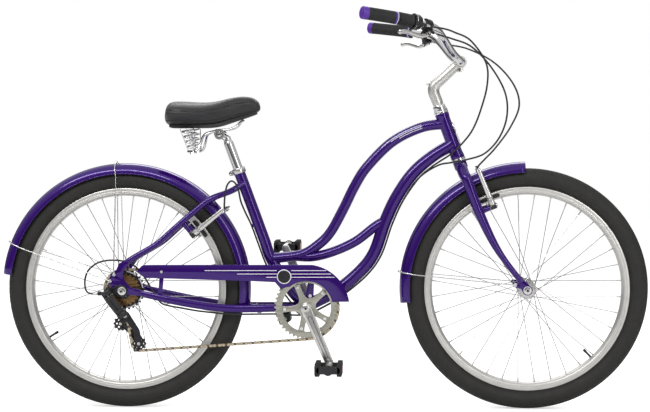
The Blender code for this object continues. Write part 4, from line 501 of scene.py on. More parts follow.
def makeRim(prefix, axle):
    # half the section by (radius, width), mirrored and turned about the axle, with a valve
    half = [
        (0.262, 0.0), (0.262, 0.006), (0.2632, 0.0095), (0.2665, 0.014), (0.2682, 0.0157), (0.269, 0.016),
        (0.2695, 0.0156), (0.2702, 0.016), (0.274, 0.016), (0.2743, 0.0158), (0.2746, 0.016),
        (0.2828, 0.016), (0.2835, 0.0155), (0.2835, 0.0146), (0.2828, 0.0142), (0.27, 0.0142),
        (0.2695, 0.011), (0.2695, 0.0),
    ]
    profile = np.vstack((half, half[-2:0:-1] * np.array((1, -1))))
    rim = Piece(prefix + "Rim").put(turned(axle, profile, around=216, looped=True), "satin")
    out = unit(polar(axle, 1, -47 if prefix == "front" else 212) - axle)
    stem = [(0.003, 0), (0.003, 0.02), (0.0038, 0.021), (0.0038, 0.029), (0.003, 0.03)]
    rim.put(turned(axle + 0.2625 * out, stem, -out, 16), "blackResin")
    rim.put(turned(axle + 0.2625 * out, [(0.005, 0), (0.005, 0.0018)], -out, 6), "alloy")
    rim.done(prefix + "_wheel", prefix + "_rim", slot="alloy")


def laceSpoke(hub, axle, way, flange, angle):
    # out of the flange's hole, round its bend and straight to a nipple further round the rim
    root = polar(axle, wheelShape["flange"], angle, flange - way * 0.0022)
    bend = polar(axle, wheelShape["flange"], angle, flange + way * 0.0019)
    end = polar(axle, wheelShape["nipple"], angle + way * wheelShape["cross"] + 5, 0.002 * way)
    out = unit(end - bend)
    path = [root, bend - 0.0006 * way * sideways, bend + 0.0012 * out, bend + 0.004 * out, end]
    hub.put(tube(path, 0.001, 6), "spokeSteel")
    hub.put(turned(root, [(0.0017, -0.0004), (0.0017, 0.0006)], way * sideways, 8), "spokeSteel")
    nipple = [(0.0015, 0), (0.0019, 0.0008), (0.0019, 0.008), (0.0022, 0.01), (0.0022, 0.0125)]
    hub.put(turned(end - 0.0115 * out, nipple, out, 8), "castAlloy")


def makeHub(prefix, axle, high, low, left, right):
    # a shell turned between its flanges at high and low, its ends at left and right
    hub = Piece(prefix + "Hub")
    disc = [
        (0.0135, -0.004), (0.016, -0.0018), (0.0255, -0.0013), (0.026, -0.0008), (0.026, 0.0008),
        (0.0255, 0.0013), (0.017, 0.0018), (0.014, 0.006), (0.0118, 0.014),
    ]
    profile = [(0.0056, right), (0.012, right), (0.0135, right + 0.002)]
    profile += [(radius, low + along) for radius, along in disc]
    profile += [(radius, high - along) for radius, along in reversed(disc)]
    profile += [(0.0135, left - 0.001), (0.012, left), (0.0056, left)]
    hub.put(turned(axle, profile, around=64, looped=True), "alloy")
    for way in (1, -1):
        for number, flange in enumerate((high, low)):
            for k in range(wheelShape["spokes"] // 4):
                laceSpoke(hub, axle, way, flange, 20 * (2 * k + (way < 0)) + 10 * number)
    hub.done(prefix + "_wheel", prefix + "_hub", slot="plated_steel")


def makeAxle(prefix, axle, body, reach, cones, faces, nuts):
    # a rod whose radius steps between crest and root, with a cone, a nut and a domed end each side
    piece = Piece(prefix + "Axle")
    thread = 0.0048 - 0.0004 * (np.arange(int(2 * reach / 0.0006)) % 2)
    crests = np.column_stack((thread, np.linspace(-reach, reach, len(thread))))
    piece.put(turned(axle, crests, around=20), "castAlloy")
    for side, cone, nut in zip((1, -1), cones, nuts):
        shape = [(0.007, cone), (0.0088, cone + 0.002), (0.0088, faces - 0.001), (0.008, faces - 0.0002)]
        piece.put(turned(axle, facing(shape, side), around=28), "castAlloy")
        piece.nut(axle + side * (nut + 0.0012) * sideways, side * sideways, 0.0092, 0.0072, "chrome")
        dome = [(0.0062, nut + 0.008), (0.0055, reach - 0.003), (0.003, reach)]
        piece.put(turned(axle, facing(dome, side), around=20), "chrome")
    piece.done(body, prefix + "_axle", slot="plated_steel")


for word, centre in (("front", frontAxle), ("rear", rearAxle)):
    makeTyre(word, centre)
    makeRim(word, centre)
makeHub("front", frontAxle, 0.033, -0.033, 0.04, -0.04)
makeHub("rear", rearAxle, 0.034, -0.0205, 0.04, -0.0605)
makeAxle("front", frontAxle, "steering", 0.068, (0.0403, 0.0403), 0.05, (0.0553, 0.0553))
makeAxle("rear", rearAxle, "frame_body", 0.0885, (0.0403, 0.0608), 0.0675, (0.0728, 0.0761))
print("wheels laced")


frameShape = {
    "headLow": 0.4057, "headHigh": 0.5388, "crown": 0.396, "steererTop": 0.5618,
    "upper": 0.0143, "down": 0.01745, "branch": 0.0135, "seat": 0.0159, "seatstay": 0.0083,
    "rearPlates": (0.0675, 0.0725), "forkPlates": (0.05, 0.055), "fenderPost": 0.3519,
}
# where the brakes stand round their wheels in degrees, and their studs and pads from the axle
brakeShape = {
    "front": 112.0, "rear": 38.5, "studReach": 0.249, "studSide": 0.043,
    "padReach": 0.272, "padInner": 0.0181,
}


def bowed(start, end, bows):
    along = end - start
    across = unit(np.array((-along[2], 0.0, along[0])))
    return [start] + [start + share * along + offset * across for share, offset in bows] + [end]


upperBows = [
    (0.1, -0.033), (0.24, -0.05), (0.4, -0.038), (0.5, -0.016), (0.6, 0.014), (0.71, 0.043), (0.79, 0.05),
    (0.88, 0.043),
]
upperTube = curveThrough(bowed(headAt(0.5088), seatAt(0.1405), upperBows), 0.005)
downBows = [
    (0.1, -0.019), (0.22, -0.028), (0.35, -0.018), (0.47, 0.004), (0.61, 0.039), (0.72, 0.045), (0.86, 0.032)
]
downTube = curveThrough(bowed(headAt(0.4477), bottomBracket, downBows), 0.005)


def flared(path, radius, start=0.012, end=0.012, swell=0.16):
    # the tube's radius, swollen near each end where the weld's fillet runs out
    length = lengthAlong(path)
    return radius * (1 + swell * (np.exp(-length / start) + np.exp(-(length[-1] - length) / end)))


def notched(before, after, degrees, half, depths):
    # a dropout's outline with a slot let in from its edge up to the axle
    way = np.array((math.cos(math.radians(degrees)), math.sin(math.radians(degrees))))
    curve = arcPoints((0, 0), half, degrees + 90, degrees + 270, 12)
    return np.vstack((before, curve[0] + depths[0] * way, curve, curve[-1] + depths[1] * way, after))


def brakeFrame(axle, degrees):
    outward = unit(polar(axle, 1, degrees) - axle)
    return outward, np.cross(outward, sideways)


def studAt(axle, outward, side):
    return axle + brakeShape["studReach"] * outward + side * brakeShape["studSide"] * sideways


def brakeBosses(piece, axle, degrees, reach):
    outward, root = brakeFrame(axle, degrees)
    for side in (1, -1):
        stud = studAt(axle, outward, side)
        boss = [(0.0085, -reach), (0.0074, -0.02), (0.0072, -0.01), (0.0066, -0.0094)]
        piece.put(turned(stud, boss, -root, 24), "paint")
        piece.put(rod(stud + 0.012 * root, stud - 0.0112 * root, 0.0034, 16), "castAlloy")
        piece.bolt(stud - 0.01 * root, -root, 0.0056, 0.0028, "chrome")


def fenderPost(piece, start, axle, radius):
    # a short post from a crossing towards the axle, down to the fender
    inward = unit(axle - start)
    drop = np.linalg.norm(start - axle) - frameShape["fenderPost"]
    piece.put(rod(start, start + drop * inward, radius), "paint")
    return inward


def frameTubes(piece):
    # lathed head tube and bracket shell, and a swept tube along each of the other lines
    flare = [(0.0185, 0.0), (0.0193, 0.002), (0.0193, 0.009), (0.0182, 0.014), (0.018, 0.02)]
    head = flare + [(radius, 0.1331 - along) for radius, along in reversed(flare)]
    piece.put(turned(headAt(frameShape["headLow"]), head, steerUp, 48), "paint")
    piece.put(tube(upperTube, flared(upperTube, frameShape["upper"]), 32), "paint")
    piece.put(tube(downTube, flared(downTube, frameShape["down"]), 36), "paint")
    ends = downTube[int(0.46 * len(downTube))], upperTube[int(0.9 * len(upperTube))]
    branch = curveThrough(bowed(*ends, [(0.13, 0.006), (0.36, 0.024), (0.6, 0.028), (0.82, 0.021)]), 0.005)
    piece.put(tube(branch, flared(branch, frameShape["branch"], 0.02, 0.02, 0.05), 28), "paint")
    knee = [seatAt(0.411), seatAt(0.3), seatAt(0.2), seatAt(0.136), bottomBracket + point(-0.05, 0, 0.049)]
    knee = curveThrough(knee + [bottomBracket + point(-0.027, 0, 0.022), bottomBracket], 0.005)
    piece.put(tube(knee, flared(knee, frameShape["seat"], 0.003, 0.012, 0.08), 36), "paint")
    shell = [
        (0.0192, -0.034), (0.0204, -0.033), (0.0204, -0.03), (0.02, -0.029), (0.02, 0.029), (0.0204, 0.03),
        (0.0204, 0.033), (0.0192, 0.034),
    ]
    piece.put(turned(bottomBracket, shell, around=48), "paint")


def rearTriangle(piece, side):
    # a chainstay, a seatstay and the plate that joins them at the axle
    # the knots are x, z and the distance aside from the axle, the first ones with a radius
    knots = [
        (0.038, -0.004, 0.0655, 0.0075), (0.126, -0.025, 0.062, 0.0105), (0.215, -0.042, 0.053, 0.011),
        (0.3, -0.052, 0.043, 0.011), (0.4198, -0.052, 0.0335, 0.0105), (0.4998, -0.05, 0.0265, 0.01),
    ]
    x, z, aside, sizes = np.array(knots).T
    run = np.column_stack((x, side * aside, rearAxle[2] + z))
    piece.put(tapered(run, sizes, 0.006, 28, 0.62), "paint")
    knots = [
        (0.004, 0.074, 0.0638), (0.03, 0.0905, 0.0636), (0.068, 0.112, 0.0615), (0.101, 0.133, 0.0585),
        (0.15, 0.176, 0.053), (0.204, 0.222, 0.048), (0.247, 0.254, 0.0445),
    ]
    run = [point(x, side * aside, rearAxle[2] + z) for x, z, aside in knots]
    meet = seatAt(0.36)
    run += [meet + point(-0.036, side * 0.03, -0.016), meet + point(0, side * 0.011, 0.006)]
    piece.put(tube(curveThrough(run, 0.005), frameShape["seatstay"], 24), "paint")
    before = [
        (-0.036, 0.018), (-0.038, 0.03), (-0.028, 0.05), (-0.016, 0.058), (-0.008, 0.076), (0.006, 0.084),
        (0.016, 0.083), (0.018, 0.072), (0.003, 0.052), (0.008, 0.026), (0.024, 0.01), (0.052, 0.002),
        (0.046, -0.014),
    ]
    outline = notched(before, [(-0.004, -0.0176), (-0.018, -0.01)], -61.4, 0.0057, (0.0155, 0.0168))
    holes = [ring(0.0022, 14, (-0.022, 0.046)), ring(0.0022, 14, (-0.031, 0.028))]
    piece.put(slab([outline] + holes, *span(side, *frameShape["rearPlates"]), rearAxle, edge=0.0009), "paint")


def standBracket(piece):
    # a web between the chainstays, a shaped block under it and a plate on the block's side
    web = [(-0.078, -0.008), (-0.05, -0.009), (-0.05, -0.022), (-0.078, -0.022)]
    piece.put(slab([web], -0.0268, 0.0268, bottomBracket), "blackMetal")
    stand = [
        (-0.08, -0.0165), (-0.049, -0.0165), (-0.046, -0.04), (-0.06, -0.05), (-0.078, -0.048),
        (-0.084, -0.03)
    ]
    piece.put(slab([stand], -0.028, 0.028, bottomBracket, edge=0.002), "blackMetal")
    window = [(-0.073, -0.037), (-0.056, -0.037), (-0.064, -0.024)]
    piece.put(slab([window], -0.0286, -0.027, bottomBracket, edge=0.0003), "castAlloy")


def guardTab(piece):
    # a lug from the bracket up to the guard, with a foot behind it and a strut beside the axle
    climb = [strap((0.006, 0.012), (0.016, 0.104), 0.012, 0.007), ring(0.0035, 16, (0.0095, 0.03))]
    piece.put(slab(climb, -0.036, -0.03, bottomBracket, edge=0.0009), "paint")
    piece.bolt(bottomBracket + point(0.0095, -0.036, 0.03), -sideways, 0.005, 0.0028, "stripe")
    foot = bottomBracket + point(0.016, 0, 0.106)
    piece.put(slab([roundedBox(0.016, 0.006, 0.0014)], -0.0585, -0.034, foot, edge=0.0008), "paint")
    strut = [(0.098, -0.019), (0.11, -0.018), (0.116, 0.053), (0.104, 0.054)]
    piece.put(slab([strut], -0.0585, -0.0555, rearAxle, edge=0.0008), "paint")


def cableClips(piece):
    # small blocks that hold the cables to the chainstay and to the back of the seat tube
    for place, size in (((0.13, -0.06, -0.0345), (0.012, 0.006)), ((0.38, -0.0385, -0.062), (0.012, 0.005))):
        piece.put(slab([roundedBox(*size, 0.002)], -0.0035, 0.0035, rearAxle + place, edge=0.0008), "paint")
    clip = seatAt(0.245) - 0.0157 * steerAhead
    piece.put(slab([roundedBox(0.01, 0.003, 0.0014)], -0.004, 0.004, clip, steerUp, steerAhead), "paint")


def headBadge(piece):
    # a plain domed oval with a raised rim and two pins
    place = headAt(frameShape["headLow"] + 0.0665) + 0.0185 * steerAhead
    oval = ring(1, 48) * (0.034, 0.0125)
    piece.put(slab([oval], -0.0012, 0.0022, place, steerUp, sideways, 0.0008), "alloy")
    piece.put(slab([oval * 0.82], 0.001, 0.0028, place, steerUp, sideways, 0.0006), "paint")
    piece.put(slab([oval * 0.34], 0.002, 0.0034, place, steerUp, sideways, 0.0005), "chrome")
    for end in (-1, 1):
        piece.bolt(place + end * 0.0305 * steerUp - 0.0005 * steerAhead, steerAhead, 0.0017, 0.003, "chrome")


def makeFrame():
    piece = Piece("mainFrame")
    frameTubes(piece)
    for side in (1, -1):
        rearTriangle(piece, side)
    for x, z, half in ((0.252, 0.2585, 0.044), (0.3655, -0.05, 0.036)):
        bridge = rearAxle + point(x, 0, z)
        piece.put(rod(bridge - half * sideways, bridge + half * sideways, 0.0062), "paint")
        inward = fenderPost(piece, bridge, rearAxle, 0.0052)
        piece.bolt(bridge - 0.0055 * inward, -inward, 0.0048, 0.003)
    brakeBosses(piece, rearAxle, brakeShape["rear"], 0.048)
    standBracket(piece)
    guardTab(piece)
    cableClips(piece)
    headBadge(piece)
    piece.done("frame_body", "frame", slot="purple_paint")


def makeStripes():
    # lines laid on the upper tube's right side: the tube's centre, lifted, and out by sqrt(r2 - lift2)
    piece = Piece("tubeStripes")
    for lift, end in ((0.007, 0.3), (0.0022, 0.255), (-0.0026, 0.215)):
        run = upperTube[int(0.1 * len(upperTube)) : int(end * len(upperTube))]
        above = np.cross(unitRows(np.gradient(run, axis=0)), sideways)
        above *= np.sign(above[:, 2:])
        out = math.sqrt(0.0144**2 - lift**2)
        piece.put(tube(run + lift * above - out * sideways, 0.0008, 10), "stripe")
    piece.done("frame_body", slot="purple_paint")


def makeFork():
    # blades swept from the crown to the axle, their radius given knot by knot
    piece = Piece("forkBlades")
    crown = frameShape["crown"]
    race = [(0.0165, -0.0215), (0.0185, -0.019), (0.0185, -0.003), (0.019, -0.002), (0.019, -0.0004)]
    piece.put(turned(headAt(crown), race, steerUp, 48), "paint")
    piece.put(rod(headAt(crown - 0.01), headAt(frameShape["steererTop"]), 0.0127), "castAlloy")
    blade = [
        (-0.165, 0.303, 0.054), (-0.134, 0.219, 0.0545), (-0.095, 0.135, 0.0545), (-0.059, 0.078, 0.055),
        (-0.016, 0.022, 0.056)
    ]
    shoulder = ((0.012, 0), (0.02, 0.02), (0.04, 0.044))
    sizes = (0.015, 0.0155, 0.0152, 0.015, 0.0135, 0.011, 0.0085, 0.0075)
    for side in (1, -1):
        run = [headAt(crown - drop) + side * reach * sideways for drop, reach in shoulder]
        run += [frontAxle + point(x, side * y, z) for x, z, y in blade]
        piece.put(tapered(run, sizes, 0.005, 32), "paint")
        low, high = span(side, *frameShape["forkPlates"])
        plate = [strap((0, 0), (-0.02, 0.028), 0.014, 0.008), ring(0.0057, 20)]
        piece.put(slab(plate, low, high, frontAxle, edge=0.0009), "paint")
        eye = [strap((-0.012, 0.01), (-0.034, 0.015), 0.007, 0.006), ring(0.0024, 14, (-0.034, 0.015))]
        piece.put(slab(eye, low + 0.0003, high - 0.0003, frontAxle, edge=0.0009), "paint")
        inner, outer = (frontAxle + side * reach * sideways for reach in (0.0535, 0.0548))
        piece.put(rod(inner, outer, 0.0132), "paint")
    fenderPost(piece, headAt(crown - 0.02), frontAxle, 0.0057)
    brakeBosses(piece, frontAxle, brakeShape["front"], 0.036)
    piece.done("steering", "fork", slot="purple_paint")


def makeHeadset():
    # three lathed rings about the steering axis
    lower = [
        (0.013, -0.0097), (0.018, -0.0097), (0.0192, -0.0085), (0.0186, -0.006), (0.02, -0.005),
        (0.02, -0.0004), (0.015, -0.0004), (0.015, 0.01), (0.013, 0.01)
    ]
    upper = [
        (0.013, -0.01), (0.015, -0.01), (0.015, 0.0004), (0.02, 0.0004), (0.02, 0.004), (0.0186, 0.005),
        (0.0196, 0.007), (0.0188, 0.011), (0.013, 0.011)
    ]
    lock = [
        (0.013, 0.0114), (0.018, 0.0114), (0.018, 0.013), (0.0172, 0.0134), (0.0172, 0.021), (0.016, 0.0234),
        (0.013, 0.0234)
    ]
    for name, place, profile, body in (
        ("Lower", "headLow", lower, "frame_body"),
        ("Upper", "headHigh", upper, "frame_body"),
        ("Locknut", "headHigh", lock, "steering"),
    ):
        piece = Piece("headset" + name)
        piece.put(turned(headAt(frameShape[place]), profile, steerUp, 40, True), "chrome")
        piece.done(body, "headset_" + name.lower(), slot="plated_steel")


makeFrame()
makeStripes()
makeFork()
makeHeadset()
print("frame and fork brazed")


fenderShape = {"top": 0.353, "skirt": 0.325, "half": 0.033, "sheet": 0.0015, "lip": 0.0016, "clear": 0.0058}


def makeFender(name, node, body, axle, start, end):
    # a gutter: an arch of the section swept round the axle, with a rolled lip along each edge
    top, skirt, half = fenderShape["top"], fenderShape["skirt"], fenderShape["half"]
    a = np.radians(np.linspace(-90, 90, 41))
    outer, inner = (
        np.column_stack((skirt + (top - skirt - inset) * np.cos(a) ** 0.9, (half - inset) * np.sin(a)))
        for inset in (0, fenderShape["sheet"])
    )
    section = np.vstack((outer, inner[::-1]))
    phi = np.radians(np.linspace(start, end, 110))[:, None]
    ease = np.clip(np.minimum(phi - phi.min(), phi.max() - phi) / 0.035, 0, 1)
    wide = 0.8 + 0.2 * np.sqrt(1 - (1 - ease) ** 2)
    radius = section[None, :, 0]
    grid = axle + np.stack((radius * np.cos(phi), section[None, :, 1] * wide, radius * np.sin(phi)), axis=-1)
    piece = Piece(name).put(skin(grid), "paint")
    for side in (1, -1):
        lip = np.hstack((skirt * np.cos(phi), side * (half - 0.0008) * wide, skirt * np.sin(phi)))
        piece.put(tube(axle + lip, fenderShape["lip"], 10), "paint")
    piece.done(body, node, slot="purple_paint")


def makeStay(name, node, body, axle, degrees, eye, eyeY):
    # a wire from one eye up beside the fender, over it at an even clearance, and down to the other eye
    top, skirt, half, clear = (fenderShape[word] for word in ("top", "skirt", "half", "clear"))
    arch = np.radians(np.linspace(90, -90, 9))
    over = [
        polar(axle, skirt + (top + clear - skirt) * math.cos(a), degrees, (half + clear) * math.sin(a))
        for a in arch
    ]
    below = polar(axle, skirt - 0.03, degrees, half + clear + 0.003)
    foot = axle + point(eye[0], eyeY, eye[1])
    flat = unit((below - foot) * (1, 0, 1))
    path = [foot, foot + 0.014 * flat, foot + 0.03 * flat, below]
    path += over + [spot * (1, -1, 1) for spot in reversed(path)]
    piece = Piece(name).put(tube(curveThrough(path, 0.004), 0.0016, 12), "chrome")
    for side in (1, -1):
        centre = foot * (1, side, 1)
        piece.put(slab([ring(0.005, 24), ring(0.0024, 16)], -0.0013, 0.0013, centre), "chrome")
        piece.bolt(centre + side * 0.001 * sideways, side * sideways, 0.0038, 0.003, "chrome")
        piece.put(rod(centre, centre - side * 0.0065 * sideways, 0.002, 12), "chrome")
    crown = polar(axle, top, degrees)
    out = unit(crown - axle)
    rivet = [(0.006, 0), (0.006, 0.0012), (0.0035, 0.0016), (0.0035, 0.0065), (0.002, 0.0078)]
    piece.put(turned(crown + 0.0002 * out, rivet, out, 24), "chrome")
    piece.done(body, node, slot="plated_steel")


makeFender("rearFender", "rear_fender", "frame_body", rearAxle, 173, -9.3)
makeFender("frontFender", "front_fender", "steering", frontAxle, 90.6, 186.4)
makeStay("rearStayUpper", "rear_stay_upper", "frame_body", rearAxle, 94, (-0.022, 0.046), 0.0745)
makeStay("rearStayLower", "rear_stay_lower", "frame_body", rearAxle, 158, (-0.033, 0.028), 0.0745)
makeStay("frontStay", "front_stay", "steering", frontAxle, 172.2, (-0.034, 0.015), 0.057)
print("fenders hung")


stemElbow = headAt(0.6143)
barClamp = stemElbow + point(0.077, 0, 0.071)
# the bar's knots from its clamp: forward, up and to one side
barBends = [
    (0, 0, 0.045), (-0.022, 0.02, 0.088), (-0.049, 0.058, 0.146), (-0.066, 0.077, 0.195),
    (-0.086, 0.086, 0.23), (-0.118, 0.094, 0.256), (-0.166, 0.103, 0.284), (-0.257, 0.116, 0.33)
]
gripShape = {"left": 0.14, "right": 0.1, "ridges": 10, "sleeveEnds": (0.1022, 0.1422), "housing": 0.1554}


barStep = 0.002


def barSide(side, step=barStep):
    return curveThrough([barClamp + point(x, side * y, z) for x, z, y in barBends], step)


def onBar(side, fromEnd):
    # a place on the bar measured back from its end, and the way outward there
    run = barSide(side)
    index = len(run) - 1 - fromEnd / barStep
    spot, before = (sampled(run, np.arange(len(run)), at) for at in (index, index - 2))
    return spot, unit(spot - before)


def roundBar(side, distances):
    # places along the bar and, at each, three axes: along it and two across
    spots, ways = (np.array(column) for column in zip(*(onBar(side, distance) for distance in distances)))
    u = unitRows(np.cross(ways, upward))
    return spots, ways, u, np.cross(ways, u)


def sleeve(piece, side, profile, look):
    # a lathed shape that follows the bar's bend; the profile is (distance from the end, radius)
    profile = np.array(profile, float)
    rings, ways, u, v = roundBar(side, np.maximum(0.0, profile[:, 0]))
    rings += np.maximum(0, -profile[:, :1]) * ways
    turn = np.linspace(0, 2 * np.pi, 40, endpoint=False)[None, :, None]
    out = np.cos(turn) * u[:, None] + np.sin(turn) * v[:, None]
    piece.put(skin(rings[:, None] + profile[:, 1, None, None] * out), look)


def ribbed(start, end, low, high, pitch):
    # alternating land and groove along a sleeve
    count = int((end - start) / pitch)
    edges = np.linspace(start, end, 2 * count + 1)
    rows = []
    for i in range(2 * count):
        level = high if i % 2 == 0 else low
        rows += [(edges[i] + 0.0001, level), (edges[i + 1] - 0.0001, level)]
    return rows


def makeBar():
    # one side's curve mirrored to the other, thick in the clamp and thinner beyond
    bar = Piece("barTube")
    left = barSide(1, 0.004)
    whole = evenSteps(np.vstack(((left * (1, -1, 1))[::-1], left)), 0.004)
    bar.put(tube(whole, np.where(np.abs(whole[:, 1]) < 0.052, 0.0127, 0.0111), 28, seed=upward), "chrome")
    bar.done("steering", "handlebar", slot="alloy")


def makeStem():
    # a forging swept from the quill up and forward to a lathed clamp round the bar
    stem = Piece("stemForging")
    arm = unit(barClamp - stemElbow)
    stem.put(rod(headAt(0.4657), headAt(0.5645), 0.0111), "castAlloy")
    run = [headAt(0.563), headAt(0.57), headAt(0.5768), stemElbow - 0.012 * steerUp, stemElbow + 0.01 * arm]
    run += [stemElbow + 0.03 * arm, barClamp - 0.03 * arm, barClamp - 0.006 * arm]
    sizes = (0.014, 0.015, 0.0152, 0.0158, 0.016, 0.0148, 0.014, 0.015)
    stem.put(tapered(run, sizes, 0.004, 36), "satin")
    half = np.array([(0.0128, -0.0232), (0.015, -0.0232), (0.0165, -0.0222), (0.0172, -0.019), (0.018, 0)])
    stem.put(turned(barClamp, np.vstack((half, half[-2::-1] * (1, -1))), around=48, looped=True), "satin")
    pinch = barClamp + point(-0.002, 0, -0.0205)
    stem.put(slab([roundedBox(0.016, 0.014, 0.004)], -0.01, 0.01, pinch, edge=0.0016), "castAlloy")
    stem.put(slab([roundedBox(0.0022, 0.013, 0.0009)], -0.0105, 0.0105, pinch, edge=0.0003), "blackMetal")
    stem.bolt(pinch + point(0.0076, 0, 0), forward, 0.0042, 0.0032, "chrome")
    top = stemElbow + 0.013 * unit(steerUp - 0.3 * arm)
    cap = [(0.0078, 0), (0.0078, 0.0034), (0.0066, 0.0042), (0.0048, 0.0042), (0.0046, 0.0008)]
    stem.put(turned(top, cap, steerUp, 24), "castAlloy")
    stem.put(turned(top, [(0.0047, 0.0004), (0.0047, 0.0022)], steerUp, 6), "blackMetal")
    stem.done("steering", "stem", slot="alloy")


def makeGrip(word, side):
    # ribbed rubber between coloured collars, with fine ridges laid along it all round
    end = gripShape[word]
    grip = Piece("grip" + word.title())
    cap = [
        (-0.005, 0.004), (-0.0048, 0.011), (-0.004, 0.0148), (-0.002, 0.0168), (0.006, 0.0172), (0.012, 0.017)
    ]
    sleeve(grip, side, cap, "accent")
    lands = ribbed(0.0125, end - 0.011, 0.0156, 0.0166, 0.0042)
    sleeve(grip, side, [(0.0121, 0.0158)] + lands + [(end - 0.0105, 0.0158)], "gripRubber")
    for look, back, radii in (
        ("accent", (0.011, 0.0104, 0.0066, 0.0062), (0.016, 0.017, 0.0172, 0.0166)),
        ("gripRubber", (0.0044, 0.004, 0.0004, 0), (0.0158, 0.0168, 0.0168, 0.016)),
        ("stripe", (0.0064, 0.006, 0.0046, 0.0042), (0.016, 0.0169, 0.0169, 0.016)),
    ):
        sleeve(grip, side, np.column_stack((end - np.array(back), radii)), look)
    spots, _, u, v = roundBar(side, np.linspace(0.016, end - 0.014, 14))
    for angle in np.arange(gripShape["ridges"]) * 2 * math.pi / gripShape["ridges"]:
        grip.put(tube(spots + 0.016 * (math.cos(angle) * u + math.sin(angle) * v), 0.001, 6), "gripRubber")
    grip.done("steering", "grip_" + word, slot="rubber")


def makeTwist():
    # a grooved sleeve turned about its own straight axis, with rods laid along it
    inner, outer = (onBar(-1, distance)[0] for distance in gripShape["sleeveEnds"])
    middle, axis = (outer + inner) / 2, unit(inner - outer)
    groove = ((0.0172, 0.018), (0.0163, 0.0177), (0.0163, 0.0163), (0.0172, 0.016))
    rows = [(0.0126, 0.02), (0.0163, 0.02), (0.0172, 0.0194)]
    rows += [(radius, level - 0.0044 * k) for k in range(8) for radius, level in groove]
    rows += [(0.0172, -0.0194), (0.0163, -0.02), (0.0126, -0.02)]
    twist = Piece("twistSleeve").put(turned(middle, rows, axis, 40, True), "gripRubber")
    across = unit(np.cross(axis, upward))
    for k in range(12):
        out = math.cos(k * math.pi / 6) * across + math.sin(k * math.pi / 6) * np.cross(axis, across)
        line = middle + 0.0164 * out
        twist.put(rod(line - 0.0185 * axis, line + 0.0185 * axis, 0.001, 8, 0.0003), "gripRubber")
    twist.done("twist_grip", "twist_shifter", slot="rubber")


def makeHousing():
    # the shifter's body follows the bar; its cable leaves through a barrel beside it
    housing = Piece("shifterHousing")
    body = [
        (0.1444, 0.0172), (0.1446, 0.0212), (0.1475, 0.0218), (0.1495, 0.0218), (0.16, 0.0205),
        (0.1655, 0.0178), (0.1664, 0.013)
    ]
    sleeve(housing, -1, body, "blackResin")
    sleeve(housing, -1, [(0.1476, 0.0216), (0.148, 0.0222), (0.149, 0.0222), (0.1494, 0.0216)], "castAlloy")
    spot, way = onBar(-1, gripShape["housing"])
    ahead = unit(point(1, 0, -0.3) - point(1, 0, -0.3) @ way * way)
    barrel = [
        (0.0052, 0.004), (0.0054, -0.006), (0.004, -0.0075), (0.0042, -0.009), (0.0042, -0.018),
        (0.003, -0.02)
    ]
    housing.put(turned(spot + 0.02 * ahead, barrel, way, 20), "blackResin")
    block, place = [roundedBox(0.02, 0.012, 0.004)], spot + 0.0195 * ahead
    housing.put(slab(block, -0.003, 0.003, place, way, np.cross(way, ahead), 0.001), "blackResin")
    housing.done("steering", "shifter_housing", slot="black_plastic")


leverShape = {"bracketAt": 0.191, "hingeDrop": 0.028, "stopDrop": 0.0165}


def makeBracket(word, side, spot, along, down, hinge, outer):
    # a band round the bar over a block with the cable's adjuster, and two ears for the lever's hinge
    bracket = Piece("leverBracket" + word.title())
    band = [
        (0.182, 0.013), (0.1822, 0.0158), (0.1835, 0.0166), (0.1985, 0.0166), (0.1998, 0.0158), (0.2, 0.013)
    ]
    sleeve(bracket, side, band, "blackMetal")
    stop = spot + leverShape["stopDrop"] * down
    block = [roundedBox(0.018, 0.01, 0.003)]
    bracket.put(slab(block, -0.011, 0.011, stop, along, down, 0.0014), "blackMetal")
    for way in (1, -1):
        ear = strap((-0.004, -0.01), (0, 0), 0.007, 0.0062)
        bracket.put(slab([ear], *span(way, 0.0087, 0.0109), hinge, along, down, 0.0006), "blackMetal")
    for way in (1, -1):
        bracket.bolt(hinge + way * 0.0106 * outer, way * outer, 0.0042, 0.0016, "castAlloy")
    adjuster = [
        (0.004, 0.004), (0.004, -0.006), (0.0056, -0.0065), (0.0056, -0.012), (0.0044, -0.0125),
        (0.0044, -0.023), (0.0034, -0.024)
    ]
    bracket.put(turned(stop, adjuster, along, 20), "blackMetal")
    bracket.bolt(spot - 0.015 * down, -down, 0.0036, 0.003, "castAlloy")
    bracket.done("steering", "lever_bracket_" + word, slot="black_metal")


def makeLever(word, side):
    # the blade's centre is given as steps along the bar and down from the hinge
    spot, along = onBar(side, leverShape["bracketAt"])
    down = point(0.45, 0, -1)
    down = unit(down - down @ along * along)
    hinge = spot + leverShape["hingeDrop"] * down + 0.004 * along
    outer = unit(np.cross(along, down))
    makeBracket(word, side, spot, along, down, hinge, outer)
    lever = Piece("brakeLever" + word.title())
    steps = (
        (-0.002, 0), (0.012, 0.006), (0.03, 0.013), (0.055, 0.0125), (0.075, 0.012), (0.09, 0.015),
        (0.1, 0.0185)
    )
    blade = [hinge + a * along + b * down for a, b in steps]
    sizes = (0.005, 0.0056, 0.0054, 0.005, 0.0052, 0.0056, 0.005)
    lever.put(tapered(blade, sizes, 0.003, 20, 1.35, outer), "alloy")
    tip = [(0.003, -0.004), (0.0058, -0.002), (0.0064, 0.001), (0.0052, 0.0044), (0.0024, 0.006)]
    lever.put(turned(blade[-1], tip, unit(blade[-1] - blade[-2]), 20), "alloy")
    lever.put(turned(hinge, bush(0.0022, 0.0056, -0.0078, 0.0078), outer, 24, True), "alloy")
    lever.done(word + "_lever", "brake_lever_" + word, slot="alloy")


makeBar()
makeStem()
for word, side in sides.items():
    makeGrip(word, side)
makeTwist()
makeHousing()
for word, side in sides.items():
    makeLever(word, side)
print("cockpit fitted")


